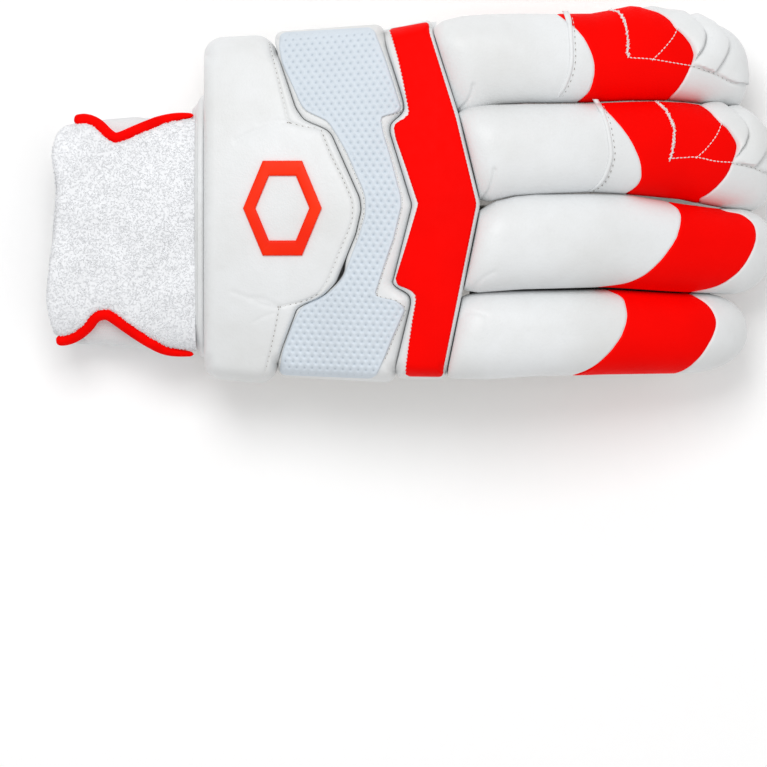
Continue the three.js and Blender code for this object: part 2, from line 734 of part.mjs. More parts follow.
// A point round the cuff at an angle from the index side, grown outwards by grow.
function cuffPoint(along, angle, grow) {
  const half = (CUFF_WIDTH * lookUp(CUFF, "along", along, "width")) / 2 + grow;
  const height = CUFF_HEIGHT * lookUp(CUFF, "along", along, "height");
  const middle = STRAP_THICK + GAP + 0.42 * height;
  const [c, s] = [Math.cos(angle), Math.sin(angle)];
  const power = s > 0 ? 2.6 : 5;
  const reach = s > 0 ? 0.58 * height + grow : 0.42 * height + grow;
  const y = CUFF_SIDE + half * Math.sign(c) * Math.abs(c) ** (2 / power);
  const z = middle + reach * Math.sign(s) * Math.abs(s) ** (2 / power);
  return new THREE.Vector3(cuffX(along), y, z);
}

// The angle on the upper half of the cuff, grown by grow, that lies at a share across.
function cuffAngle(along, share, grow) {
  const half = (CUFF_WIDTH * lookUp(CUFF, "along", along, "width")) / 2 + grow;
  const reach = Math.min(0.9995, Math.abs(share * CUFF_WIDTH) / half);
  const angle = Math.acos(reach ** (2.6 / 2));
  return share > 0 ? angle : Math.PI - angle;
}

function cuffLining() {
  const outer = CUFF.map(({ along }) => CUFF_ANGLES.map((a) => cuffPoint(along, a, 0)));
  const inner = CUFF.map(({ along }) => CUFF_ANGLES.map((a) => cuffPoint(along, a, -CUFF_WALL)));
  const points = [...outer.flat(), ...inner.flat()];
  const [count, first] = [CUFF_SIDES, outer.length * CUFF_SIDES];
  const triangles = [...ringWall(first, 0, count)];
  for (let k = 1; k < outer.length; k++) {
    triangles.push(...ringWall((k - 1) * count, k * count, count));
    triangles.push(...ringWall(first + k * count, first + (k - 1) * count, count));
  }
  triangles.push(...ringWall((outer.length - 1) * count, first + (outer.length - 1) * count, count));
  return geometryOf(points, triangles);
}

// How far back a point of the terry panel lies, from its place across the cuff.
function terryX(along, share) {
  const inside = CUFF_LENGTH * lookUp(TERRY_REAR, "across", share, "inside");
  return cuffX(along) + inside * (1 - along);
}

function terryPanel() {
  const inset = (PIPING_WIDTH + GAP) / CUFF_WIDTH;
  const seat = GAP * 2;
  const loops = TERRY.map(({ along, index, little }) => {
    const grow = seat + TERRY_THICK / 2;
    const from = cuffAngle(along, index - inset, grow);
    const to = cuffAngle(along, little + inset, grow);
    const arc = (share, lift) => {
      const point = cuffPoint(along, lerp(from, to, share), seat + lift);
      return point.setX(terryX(along, (point.y - CUFF_SIDE) / CUFF_WIDTH));
    };
    const over = [0, 0.07, 0.2, 0.35, 0.5, 0.65, 0.8, 0.93, 1];
    const full = (share) => (share === 0 || share === 1 ? 0.75 : 1) * TERRY_THICK;
    return [...over.map((t) => arc(t, full(t))), ...[...over].reverse().map((t) => arc(t, 0))];
  });
  return loft(loops, (p) => new THREE.Vector2(p.y, p.z));
}

// The piping that edges the terry panel on one side of the cuff.
function pipingGeometry(side, start) {
  const rows = TERRY.filter(({ along }) => along >= start);
  const radius = PIPING_WIDTH / 2;
  const loops = rows.map((row) => {
    const sign = side === "index" ? 1 : -1;
    const share = row[side] - (sign * radius) / CUFF_WIDTH;
    const grow = GAP * 2 + radius;
    const angle = cuffAngle(row.along, share, grow);
    const middle = cuffPoint(row.along, angle, grow);
    middle.x = terryX(row.along, share);
    return Array.from({ length: 8 }, (_, i) => {
      const turn = ((i + 0.5) / 8) * 2 * Math.PI;
      const reach = radius * 0.96;
      const offset = new THREE.Vector3(0, reach * Math.cos(turn), reach * Math.sin(turn));
      return middle.clone().add(offset);
    });
  });
  return loft(loops, (p) => new THREE.Vector2(p.y, p.z));
}

// A padded roll over the joint of hand and cuff, down to the side seams.
function wristRoll() {
  const middle = PAD_REAR_X - GAP - WRIST_ROLL_WIDTH / 2;
  const rows = [[-0.5, 0.35], [-0.34, 0.8], [0, 1], [0.34, 0.8], [0.5, 0.35]];
  const loops = rows.map(([shift, full]) => {
    const along = (middle + shift * WRIST_ROLL_WIDTH - HAND_REAR_X) / HAND_LENGTH;
    const over = handSection(along, -GAP - WRIST_ROLL_THICK * full).upper;
    const under = handSection(along, -GAP).upper.reverse();
    return [...over, ...under].map((p) => p.clone().setZ(p.z + 2 * GAP));
  });
  return loft(loops, (p) => new THREE.Vector2(p.y, p.z));
}

// A closing strap round the palm side of the cuff.
function strapGeometry() {
  const start = 0.9 - STRAP_WIDTH / CUFF_LENGTH;
  const angles = CUFF_ANGLES.filter((a) => a > 1.02 * Math.PI && a < 1.98 * Math.PI);
  const loops = [start, (start + 0.9) / 2, 0.9].map((along) => {
    const outer = angles.map((a) => cuffPoint(along, a, GAP + STRAP_THICK));
    const inner = [...angles].reverse().map((a) => cuffPoint(along, a, GAP));
    return [...outer, ...inner];
  });
  return loft(loops, (p) => new THREE.Vector2(p.y, p.z));
}

function addCuff() {
  addPiece("cuff_lining", cuffLining(), "lining", 0.9);
  addPiece("cuff_terry_back", terryPanel(), "terry", 0.95);
  addPiece("cuff_piping_index_side", pipingGeometry("index", 0.13), "red");
  addPiece("cuff_piping_little_side", pipingGeometry("little", 0), "red");
  addPiece("wrist_roll", wristRoll(), "white");
  addPiece("wrist_strap", strapGeometry(), "lining", 0.8);
}

// Thumb: a digit laid on its side under the palm, that comes out of a hole in the palm.
function thumbDigit() {
  return {
    width: THUMB_HEIGHT - 3,
    upper: THUMB_ROLL_UPPER,
    lower: THUMB_ROLL_LOWER,
    stallWidth: THUMB_HEIGHT,
    stallHeight: THUMB_WIDTH,
    radius: THUMB_LENGTH / Math.sin(THUMB_CURL),
    startAngle: 0.32 * THUMB_CURL,
    endAngle: THUMB_CURL,
    swayAt: () => 0,
    slantAt: () => 0,
  };
}

function placeThumb(geometry) {
  const seat = THUMB_ROLL_LOWER + GAP + THUMB_WIDTH / 2; // from the roll's axis to the stall's
  const rise = GAP + THUMB_HEIGHT / 2 + THUMB_LENGTH * Math.sin(THUMB_PITCH);
  return geometry
    .rotateX(-Math.PI / 2)
    .rotateY(THUMB_PITCH)
    .translate(THUMB_REAR_X, THUMB_SIDE + seat, rise);
}

function addThumb() {
  const digit = thumbDigit();
  const outer = stallRings(digit, 0, 0);
  const inner = stallRings(digit, WALL, 0);
  const sock = solidOf(placeThumb(stocking(outer.rings, outer.toe, inner.rings, inner.toe)));
  const behind = onArc(digit.radius, 0, 0, -(digit.lower + GAP + digit.stallHeight / 2));
  const pocket = solidOf(placeThumb(roundedLoft(inner.rings, behind, inner.toe)));
  const roll = solidOf(placeThumb(rollGeometry(digit, 0)));
  const hand = handFilled(GAP);
  const square = { overY: 0, overZ: 0 };
  const shield = new THREE.Vector3(THUMB_REAR_X + THUMB_LENGTH * 0.78, 0, 0);
  addPiece("thumb_stall", geometryFrom(sock.subtract(hand)), "palm", 0.7);
  addPiece("thumb_roll", geometryFrom(trim(roll, square, shield, -1).subtract(hand)), "white");
  addPiece("thumb_tip_shield", geometryFrom(trim(roll, square, shield, 1)), "red");
  return pocket;
}

addPads();
const thumbPocket = addThumb();
const palm = solidOf(handHalf("lower", -GAP / 2)).subtract(thumbPocket);
addPiece("palm_panel", geometryFrom(palm), "palm", 0.7);
addPiece("hand_back", handHalf("upper", GAP / 2), "lining", 0.8);
addCuff();
FINGERS.forEach(addFinger);

const box = new THREE.Box3().setFromObject(glove);
const centre = box.getCenter(new THREE.Vector3());
glove.position.set(-centre.x, -centre.y, -box.min.z);

export default glove;
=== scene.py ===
"""A right-hand cricket batting glove, palm down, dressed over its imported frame.

Laid out as a Blender add-on and run as a script. Sizes in the tables are millimetres in the plan
frame of the glove: x runs from the cuff to the fingertips, y to the index side, z up, and y = 0 is
the centre line of the back pads.
"""
import math

import bmesh
import bpy
import numpy as np
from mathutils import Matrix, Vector


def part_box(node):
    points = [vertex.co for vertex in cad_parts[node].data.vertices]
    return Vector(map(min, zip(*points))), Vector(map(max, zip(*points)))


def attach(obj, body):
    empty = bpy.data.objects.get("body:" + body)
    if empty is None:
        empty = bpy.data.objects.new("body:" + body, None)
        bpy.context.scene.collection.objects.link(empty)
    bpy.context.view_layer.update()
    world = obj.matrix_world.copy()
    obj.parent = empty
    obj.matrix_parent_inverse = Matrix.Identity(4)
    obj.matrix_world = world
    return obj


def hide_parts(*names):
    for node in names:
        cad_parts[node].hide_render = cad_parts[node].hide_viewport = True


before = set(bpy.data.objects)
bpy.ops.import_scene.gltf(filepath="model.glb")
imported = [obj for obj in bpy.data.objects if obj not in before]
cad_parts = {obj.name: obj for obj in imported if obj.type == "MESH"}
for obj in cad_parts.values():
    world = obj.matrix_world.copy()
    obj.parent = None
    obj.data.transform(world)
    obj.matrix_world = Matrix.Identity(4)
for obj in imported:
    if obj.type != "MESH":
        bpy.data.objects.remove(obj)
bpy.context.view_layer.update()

bl_info = {
    "name": "Batting Glove",
    "version": (1, 0, 0),
    "blender": (4, 5, 0),
    "location": "View3D > Sidebar > Glove",
    "description": "Builds the pads, finger rolls, cuff and stitching of a batting glove",
    "category": "Object",
}

MM = 0.001

# The hand and the pads on its back, as in the part's source
GAP = 0.3
SEAM_GAP = 0.9
WALL = 2.0
PAD_REAR_X = -85.7
BACK_HALF = 75.0
WRIST_CREST = 45.0
KNUCKLE_CREST = 60.0
WRIST_DROOP = 16.0
KNUCKLE_DROOP = 9.0
PAD_SHOULDER = 6.5
PAD_SKIRT = 3.0
PAD_CROWN = 1.2
HAND_REAR_X = -91.0
HAND_LENGTH = 103.0
HAND_WIDTH = 148.0
PALM_RISE = 30.5

# The cuff
CUFF_LENGTH = 62.0
CUFF_WIDTH = 95.5
CUFF_HEIGHT = 38.0
CUFF_SIDE = -9.5
CUFF_WALL = 2.2
TERRY_THICK = 4.5
PIPING_WIDTH = 3.6
WRIST_ROLL_WIDTH = 4.8
WRIST_ROLL_THICK = 6.0
STRAP_WIDTH = 28.0
STRAP_THICK = 2.0
# Shares of the cuff's height above and below its widest place
CUFF_OVER = 0.58
CUFF_UNDER = 0.42
TERRY_FRONT_X = HAND_REAR_X + 1.5
TERRY_REAR_X = -152.0
TERRY_SEAT = 2 * GAP
# Least upward share of a normal for loops to grow on a face
UPWARD = 0.15

# The fingers
FINGER_LENGTH = 140.4
ROLL_WIDTH = 38.0
STALL_WIDTH = 31.0
STALL_HEIGHT = 24.0
ROLL_UPPER = 16.0
ROLL_LOWER = 12.0
ROLL_HEEL = 9.0
# How full the section of a roll or a stall is, above and below its widest place
UPPER_POWER = 2.3
LOWER_POWER = 3.0
STALL_TOE = 13.0

# The thumb under the palm
THUMB_LENGTH = 108.0
THUMB_WIDTH = 28.0
THUMB_HEIGHT = 21.0
THUMB_REAR_X = -58.0
THUMB_SIDE = 42.0
THUMB_PITCH = 0.13
THUMB_CURL = 0.26
THUMB_ROLL_UPPER = 9.0
THUMB_ROLL_LOWER = 6.0

# What the covers have and the solids lack: steps along a pad and round its corners, the unevenness
# of its top, the seat of facings and threads, the dip at a roll's seams, how deep it tucks in there,
# how far a cut runs back under the roll, and the rise or length of small parts
PAD_STEP = 0.62
CORNER_STEPS = 11
PAD_WAVE = 0.22
FACING_SEAT = 0.15
THREAD_SEAT = 0.1
SEAM_DIP = 0.45
SEAM_DIP_WIDTH = 0.55
SEAM_TUCK = 2.6
CUT_RAKE = 9.0
BADGE_RISE = 1.5
WELT_STEP = 0.6
WELT_TAB = 4.6
LAST_SHIELD = 26.0

# Seams across the back as (y, x)
WRIST_SEAM = [
    (71.3, -56.0), (64.7, -54.6), (42.0, -47.1), (36.5, -43.2), (34.1, -35.7), (31.5, -32.3),
    (4.2, -20.2), (-0.8, -19.6), (-11.0, -21.9), (-31.5, -30.3), (-37.6, -36.2), (-41.4, -46.3),
    (-59.3, -53.0), (-66.0, -54.6),
]
BAND_SEAM = [
    (72.7, -9.7), (67.6, -8.8), (46.1, -2.2), (41.3, -1.4), (38.6, -3.3), (35.7, -7.2),
    (32.0, -7.6), (1.3, 1.8), (-32.3, -6.7), (-35.3, -0.4), (-37.5, 1.2), (-40.5, 1.1),
    (-66.4, -5.1),
]
KNUCKLE_SEAM = [(73.9, 10.5), (38.0, 21.6), (1.7, 30.3), (-34.0, 23.1), (-67.6, 16.4)]
REAR_EDGE = [(0.0, PAD_REAR_X - 0.2)]
# Half the gap that shows between two pads, and from the knuckle band to the rolls
JOINT = 0.06

# Edges of the perforated facing as (y, x)
FACING_REAR = [
    (76.0, -53.8), (68.7, -54.2), (61.1, -52.9), (51.0, -48.3), (45.1, -45.8), (41.4, -43.7),
    (39.3, -40.3), (38.0, -36.1), (36.3, -33.6), (30.4, -29.8), (23.7, -26.0), (15.3, -22.3),
    (7.8, -19.0), (3.6, -17.9), (-2.7, -18.0), (-11.5, -20.6), (-22.5, -24.8), (-28.8, -27.3),
    (-32.5, -30.2), (-35.1, -32.8), (-37.2, -36.4), (-39.7, -42.0), (-41.8, -45.0),
    (-47.2, -47.9), (-55.2, -51.0), (-61.9, -53.0), (-74.0, -54.5),
]
FACING_FRONT = [
    (76.0, -14.4), (73.2, -13.4), (63.0, -9.6), (57.0, -7.6), (52.8, -6.2), (46.8, -4.4),
    (42.8, -3.0), (41.2, -3.3), (39.9, -4.6), (38.4, -10.9), (36.3, -11.3), (30.9, -10.2),
    (24.6, -8.2), (14.9, -5.6), (5.2, -3.1), (1.1, -2.8), (-6.9, -4.6), (-12.8, -6.0),
    (-23.3, -9.7), (-28.8, -11.5), (-35.7, -13.7), (-37.1, -13.0), (-38.6, -5.5),
    (-41.2, -2.0), (-43.0, -1.3), (-48.5, -3.8), (-54.7, -6.6), (-60.7, -9.0), (-67.0, -11.8),
    (-74.0, -14.6),
]
# Rear edge of the knuckle band's red facing as (y, x)
BAND_FACING_REAR = [
    (78.0, -8.0), (63.0, -4.2), (53.8, -2.2), (41.0, 0.2), (39.4, 0.2), (37.5, -1.7),
    (35.5, -5.3), (33.5, -6.0), (29.4, -5.3), (16.2, -0.7), (2.9, 3.7), (1.9, 4.2), (-1.1, 3.4),
    (-14.9, -0.7), (-29.6, -5.3), (-32.4, -4.4), (-34.2, 0.6), (-36.2, 2.9), (-38.8, 3.2),
    (-46.9, 1.8), (-57.1, 0.3), (-66.3, -0.9), (-72.0, -1.1),
]

# y of a pad's ends, its corner radius, its thickness, and how far its ends slant at the rear, on
# the little side and on the index side.
# rear_edge and front_edge say what share of the thickness an edge keeps, and how wide it rounds.
PADS = {
    "wrist_pad": {
        "rear": REAR_EDGE, "front": WRIST_SEAM, "low": -73.3, "high": 73.3,
        "corner": 8.0, "thick": 19.0, "slant": (1.4, 0.7),
        "rear_edge": (0.62, 5.0), "front_edge": (0.76, 3.0),
    },
    "mid_pad": {
        "rear": WRIST_SEAM, "front": BAND_SEAM, "low": -73.0, "high": 77.6,
        "corner": 4.2, "thick": 18.0, "slant": (2.2, 2.6),
        "rear_edge": (0.84, 2.0), "front_edge": (0.68, 6.0),
    },
    "knuckle_band": {
        "rear": BAND_SEAM, "front": KNUCKLE_SEAM, "low": -71.6, "high": 79.2,
        "corner": 2.8, "thick": 20.0, "slant": (0.3, 3.4),
        "rear_edge": (0.78, 1.8), "front_edge": (0.76, 2.2),
    },
}
# The stitched seam along the wrist pad's front edge, as (x, y)
PAD_SEAM = [
    [(-58.6, 70.6), (-58.3, 69.2), (-55.1, 56.7), (-50.1, 35.9)],
    [(-50.1, 35.9), (-44.0, 34.4), (-36.6, 33.3)],
    [(-36.6, 33.3), (-32.6, 22.9), (-27.4, 12.3), (-23.6, 3.0), (-23.4, -3.0), (-24.1, -7.0),
     (-28.9, -18.6), (-33.7, -30.1), (-37.5, -35.9)],
    [(-37.5, -35.9), (-43.3, -38.8), (-54.1, -41.4)],
    [(-54.1, -41.4), (-55.7, -50.4), (-58.8, -63.9), (-60.4, -70.0)],
]
# Needle holes at the inner corners of the facing, as (x, y), shown by dark capsules of painted shadow
FACING_HOLES = [[(-11.4, 38.5), (-7.0, 39.2), (-3.2, 40.2)], [(-14.0, -36.9), (-12.9, -36.6)]]

# Soft creases on the wrist pad, from the inner corners of its stitched seam, as (x, y), each with
# its depth and width
CREASES = [
    ([(-50.4, 36.3), (-57.1, 34.6), (-65.5, 31.7), (-72.2, 28.3)], 0.3, 1.2),
    ([(-52.1, 36.8), (-58.0, 36.8), (-63.0, 35.5)], 0.16, 0.9),
    ([(-54.6, -40.9), (-59.6, -38.4), (-65.5, -37.2)], 0.3, 0.8),
    ([(-55.4, -41.8), (-61.3, -40.1), (-68.9, -36.8), (-73.9, -35.1)], 0.28, 0.9),
    ([(-56.0, -44.0), (-60.0, -45.2), (-64.5, -47.6)], 0.22, 0.8),
]

# The hand: along its length, middle and width as shares of HAND_WIDTH, rise of PALM_RISE
HAND = [
    (0.0, -0.05, 0.72, 0.09), (0.16, -0.04, 0.76, 0.26), (0.34, -0.02, 0.84, 0.54),
    (0.56, 0.0, 0.93, 0.8), (0.78, 0.02, 0.98, 0.94), (1.0, 0.034, 1.0, 1.0),
]
# The cuff: along from its open end, width and height as shares
CUFF = [(0.0, 1.0, 0.95), (0.35, 0.99, 0.96), (0.7, 1.03, 1.0), (1.0, 1.08, 1.06)]
# Middle lines of the piping at the terry panel's sides, as (x, y)
PIPING = {
    "index": [
        (-140.8, 37.3), (-136.7, 38.0), (-133.0, 37.1), (-129.8, 35.1), (-126.6, 31.9), (-123.6, 30.0),
        (-120.6, 30.5), (-115.8, 32.6), (-110.5, 34.8), (-103.7, 37.4), (-97.7, 38.9), (-90.4, 39.6),
    ],
    "little": [
        (-148.3, -54.6), (-145.5, -55.2), (-141.5, -54.2), (-137.7, -52.0), (-134.5, -49.1),
        (-132.6, -46.5), (-130.5, -44.9), (-127.4, -44.3), (-124.6, -45.5), (-119.4, -49.2),
        (-113.7, -53.1), (-107.7, -56.7), (-100.9, -59.8), (-90.4, -61.2),
    ],
}
# The terry panel's free edges: round its corners as (x, y), and its rear as (y, x)
TERRY_CORNERS = {
    "index": [(-150.2, 24.0), (-149.2, 28.6), (-147.6, 31.9), (-145.4, 34.4), (-143.0, 35.6)],
    "little": [(-152.3, -40.0), (-151.4, -47.0), (-150.0, -51.4)],
}
TERRY_REAR = [
    (36.0, -149.2), (26.6, -149.7), (22.6, -150.1), (18.6, -149.5), (13.8, -148.3), (8.9, -147.8),
    (-2.3, -148.1), (-12.8, -149.1), (-16.8, -150.1), (-24.8, -151.1), (-34.5, -152.2),
    (-42.5, -152.2), (-48.1, -151.1), (-54.0, -149.0),
]

# Fingers, index to little. side is y at the knuckle as a share of HAND_WIDTH, reach a share of
# FINGER_LENGTH, width and sway shares of ROLL_WIDTH. index_side and little_side say how far the
# roll's sides stand out or in, by their place along FINGER_LENGTH. nose is the length of the
# rounded tip on the index side and on the little side, and trim what the roll stops short by.
FINGERS = {
    "index": {
        "side": 0.43, "width": 0.984, "reach": 0.929, "sway": -0.11,
        "nose": (24.0, 4.5), "trim": 3.0,
        "index_side": [
            (0.0, -7.5), (0.012, -6.0), (0.038, -3.6), (0.09, -1.8), (0.16, -1.0), (0.25, -0.4),
            (0.46, -0.1), (0.52, 1.5), (0.58, 3.5), (0.64, 2.9), (0.69, 1.2), (0.735, 0.3),
            (0.82, -0.9),
        ],
        "little_side": [
            (0.06, 5.6), (0.09, 4.3), (0.12, 2.8), (0.165, 1.5), (0.25, 0.6), (0.45, 0.3),
            (0.57, -0.8), (0.7, -1.6), (0.78, -1.0), (0.87, 0.2),
        ],
    },
    "middle": {
        "side": 0.169, "width": 0.99, "reach": 1.0, "sway": -0.116,
        "nose": (24.0, 13.0), "trim": 0.0,
        "index_side": [
            (0.06, -6.8), (0.08, -4.4), (0.1, -2.8), (0.13, -1.3), (0.18, -0.5), (0.29, 0.1),
            (0.46, 0.2), (0.65, 1.9), (0.735, 2.0), (0.8, 1.2), (0.87, 0.4), (0.93, 0.2), (1.0, 0.4),
        ],
        "little_side": [
            (0.13, 3.2), (0.2, 1.2), (0.29, 0.3), (0.45, -0.5), (0.6, 0.3), (0.735, 1.1),
            (0.82, 3.3), (0.93, 5.4), (1.0, 5.4),
        ],
    },
    "ring": {
        "side": -0.0946, "width": 1.01, "reach": 0.9915, "sway": -0.079,
        "nose": (19.0, 21.0), "trim": 0.0,
        "index_side": [
            (0.1, -6.2), (0.13, -4.0), (0.155, -2.2), (0.22, -0.1), (0.28, 0.8), (0.46, 1.0),
            (0.574, 0.6), (0.72, -2.2), (0.834, -3.8), (0.94, -3.0), (1.0, -3.0),
        ],
        "little_side": [
            (0.1, 1.2), (0.15, 2.2), (0.27, 0.9), (0.5, -0.2), (0.68, 0.8), (0.8, 1.2), (0.9, 1.6),
        ],
    },
    "little": {
        "side": -0.3588, "width": 0.937, "reach": 0.9195, "sway": 0.066,
        "nose": (24.0, 28.0), "trim": 0.0,
        "index_side": [(0.04, -1.4), (0.12, 0.5), (0.28, 0.8), (0.5, 1.3), (0.72, -0.6)],
        "little_side": [(0.0, -2.0), (0.07, 0.6), (0.16, 1.0), (0.3, -0.4), (0.5, -1.1), (0.75, -1.0)],
    },
}

# Where each roll's covering changes, as (y, x) from the index side to the little side
CUTS = {
    "index": {
        "start": [(84.0, 59.0), (82.1, 62.6), (74.1, 71.8), (64.5, 76.9), (57.3, 78.1), (48.9, 76.0),
                  (44.0, 70.5)],
        "end": [(85.0, 98.0), (84.1, 100.3), (82.3, 106.1), (79.4, 110.2), (75.6, 112.6), (74.9, 114.0),
                (70.7, 117.8), (66.1, 119.8), (63.2, 119.9), (59.7, 118.6), (55.0, 116.6), (50.4, 113.7),
                (46.3, 109.9), (44.0, 107.0)],
    },
    "middle": {
        "start": [(45.1, 79.0), (37.5, 86.4), (29.2, 92.8), (18.7, 97.4), (10.3, 97.0), (5.0, 90.6)],
        "end": [(46.0, 118.5), (44.9, 121.3), (41.7, 126.5), (36.4, 131.1), (35.3, 132.6), (33.5, 134.6),
                (28.3, 137.8), (24.8, 138.2), (19.6, 136.5), (14.9, 134.6), (9.7, 130.5), (5.9, 125.9),
                (4.0, 122.5)],
    },
    "ring": {
        "start": [(4.0, 107.5), (2.5, 110.2), (0.2, 113.4), (-3.9, 114.6), (-12.0, 112.8),
                  (-17.2, 109.6), (-21.9, 106.1), (-25.9, 102.1), (-29.1, 98.0), (-31.5, 92.2),
                  (-32.6, 85.2), (-33.2, 79.0)],
        "end": [(0.5, 131.0), (-1.0, 135.2), (-1.8, 139.9), (-3.3, 142.8), (-6.2, 145.7), (-10.8, 146.8),
                (-16.6, 145.7), (-24.8, 141.0), (-30.0, 135.2), (-32.9, 129.4), (-34.2, 123.6),
                (-35.5, 116.0)],
    },
    "little": {
        "start": [(-33.4, 82.0), (-34.9, 85.8), (-37.0, 89.9), (-41.6, 91.6), (-46.3, 91.8),
                  (-52.7, 89.9), (-59.0, 85.8), (-64.9, 80.0), (-68.4, 74.2), (-71.0, 66.0)],
        "end": [(-35.0, 117.0), (-36.1, 120.1), (-39.3, 125.3), (-43.4, 128.5), (-48.0, 129.7),
                (-53.8, 128.2), (-61.4, 123.6), (-67.2, 117.8), (-69.5, 112.0), (-70.5, 106.0)],
    },
}
# Where the raised welts lie, as (y, x)
WELTS = {
    "index": [(83.0, 65.9), (81.2, 66.8), (76.7, 67.8), (71.8, 68.2), (63.3, 68.5), (56.6, 67.6),
              (50.5, 65.2), (45.6, 62.0), (43.5, 58.5)],
    "middle": [(45.8, 78.6), (44.2, 79.6), (41.4, 80.9), (35.3, 83.1), (26.8, 84.6), (20.7, 84.8),
               (12.8, 82.2), (8.5, 78.5), (5.5, 72.0)],
}
# The overlapping tip shields end at these edges, and stop at a seam on the little side
LOBES = {
    "index": [
        [(84.0, 113.0), (81.7, 117.2), (76.6, 123.3), (72.9, 125.6), (67.8, 124.6), (63.6, 121.5),
         (58.0, 116.0)],
        [(82.0, 121.0), (78.8, 126.8), (76.6, 130.5), (70.3, 135.2), (64.9, 134.4), (58.2, 129.8),
         (53.0, 124.0)],
    ],
    "middle": [
        [(45.5, 130.0), (43.5, 132.7), (38.0, 140.0), (32.5, 143.4), (27.5, 142.3), (25.0, 140.6),
         (18.0, 135.0)],
        [(44.0, 138.0), (41.4, 141.5), (37.2, 147.7), (30.4, 152.0), (24.6, 151.2), (18.7, 147.0),
         (14.0, 142.0)],
    ],
}
# The seam that the shields stop at, as (x, y), and the x from which its stitches show
SHIELD_SEAM = {
    "index": [(105.0, 62.0), (118.4, 60.3), (129.4, 56.5), (136.1, 53.3), (143.0, 52.5)],
    "middle": [(123.0, 21.0), (136.5, 19.1), (144.9, 17.4), (150.8, 14.9), (156.0, 13.5)],
}
SHIELD_SEAM_SHOWN = {"index": 118, "middle": 136}
# Rough white seams sewn over the red sleeves, as (x, y)
SLEEVE_SEAMS = {
    "index": [
        [(85.2, 83.4), (88.7, 82.1), (91.0, 78.0), (92.0, 73.0), (92.3, 68.4), (92.0, 66.0),
         (92.6, 64.0)],
        [(92.2, 64.2), (93.6, 63.2), (98.0, 63.0), (102.9, 62.6), (111.0, 61.3), (118.2, 60.2)],
        [(102.9, 62.6), (106.1, 65.7), (109.0, 68.9), (111.4, 72.0), (113.2, 75.4)],
    ],
    "middle": [
        [(104.4, 44.9), (107.9, 41.7), (110.2, 37.6), (111.7, 32.9), (111.3, 27.1), (110.8, 23.6),
         (109.8, 20.2)],
        [(109.8, 20.9), (115.5, 21.3), (121.3, 21.5), (129.4, 19.9), (136.5, 19.5)],
        [(121.3, 21.5), (124.2, 24.0), (126.9, 27.0), (129.9, 31.2), (131.8, 35.5)],
    ],
}
# Small folds at the roots of the rolls, as (x, y), each with its depth and width
ROOT_FOLDS = {
    "index": [([(21.0, 40.5), (24.8, 44.2), (26.8, 48.2), (27.4, 51.5)], 0.8, 0.7)],
    "middle": [([(30.5, 2.8), (33.9, 7.0), (35.6, 12.1), (36.2, 16.0)], 0.8, 0.7)],
    "ring": [([(27.0, -34.0), (31.5, -29.5), (36.0, -27.0)], 0.3, 0.8)],
    "little": [([(24.0, -44.0), (28.0, -43.6), (33.0, -45.0)], 0.3, 0.8)],
}
# The badge's section as (share of its reach, share of its rise)
BADGE_PROFILE = [
    (1.0, -0.4), (1.0, 0.5), (0.985, 0.85), (0.95, 1.0), (0.845, 0.78), (0.74, 1.0), (0.7, 0.85),
    (0.68, 0.5), (0.68, -0.4),
]
# Kind of seam, name of the piece, and its pitch, length, radius and wander as shares of the sizes
# Pieces whose names end in _holes are dark capsules of painted shadow, for the shade inside the needle
# holes
STITCHES = [
    ("seam", "seam_stitches", 1.1, 0.85, 1.0, 0.05),
    ("seam", "seam_holes", 1.1, 0.74, 0.9, 0.05),
    ("border", "border_stitches", 1.1, 1.1, 1.2, 0.05),
    ("border", "border_holes", 1.1, 0.5, 0.95, 0.05),
    ("welt", "welt_stitches", 1.3, 1.0, 0.9, 0.05),
    ("welt", "welt_holes", 1.3, 0.85, 1.05, 0.05),
    ("hole", "needle_holes", 0.8, 0.45, 1.5, 0.1),
    ("line", "sleeve_stitches", 0.86, 1.0, 1.35, 0.16),
    ("rough", "rough_stitches", 0.13, 1.75, 1.4, 0.9),
]
# Name, place in metres, size and power of the studio's lamps
LAMPS = [
    ("key_light", (-0.22, 0.68, 1.6), 0.8, 13.0),
    ("fill_light", (0.3, -0.15, 1.7), 1.4, 3.4),
]
WORLD_STRENGTH = 0.565
# The middle of the picture in plan, the width it takes in and the height at which it does, in metres
PICTURE_MIDDLE = (-10.29, -73.5)
PICTURE_WIDTH = 0.3221
PICTURE_LEVEL = 0.06


class GloveSizes(bpy.types.PropertyGroup):
    """Sizes that a user would change"""
    stitch_pitch: bpy.props.FloatProperty(
        name="Stitch Pitch", description="Distance from one stitch to the next",
        default=2.0 * MM, min=0.0005, unit="LENGTH")
    stitch_length: bpy.props.FloatProperty(
        name="Stitch Length", description="Visible length of one stitch",
        default=1.45 * MM, min=0.0002, unit="LENGTH")
    stitch_radius: bpy.props.FloatProperty(
        name="Thread Radius", description="Radius of the sewing thread",
        default=0.17 * MM, min=0.00005, unit="LENGTH")
    facing_thick: bpy.props.FloatProperty(
        name="Facing Thickness", description="Thickness of the facings on the back pads",
        default=1.2 * MM, min=0.0003, unit="LENGTH")
    dimple_pitch: bpy.props.FloatProperty(
        name="Dimple Pitch", description="Distance between the dimples of the perforated facing",
        default=3.22 * MM, min=0.001, unit="LENGTH")
    dimple_depth: bpy.props.FloatProperty(
        name="Dimple Depth", description="Depth of one dimple",
        default=0.95 * MM, min=0.0, unit="LENGTH")
    shield_lift: bpy.props.FloatProperty(
        name="Shield Lift", description="How far the overlapping tip shields stand proud",
        default=2.7 * MM, min=0.0, unit="LENGTH")
    loop_count: bpy.props.IntProperty(
        name="Terry Loops", description="Loops on the terry panel", default=8000, min=100)
    camera_height: bpy.props.FloatProperty(
        name="Camera Height", description="Height of the camera over the floor",
        default=6.0, min=0.5, unit="LENGTH")


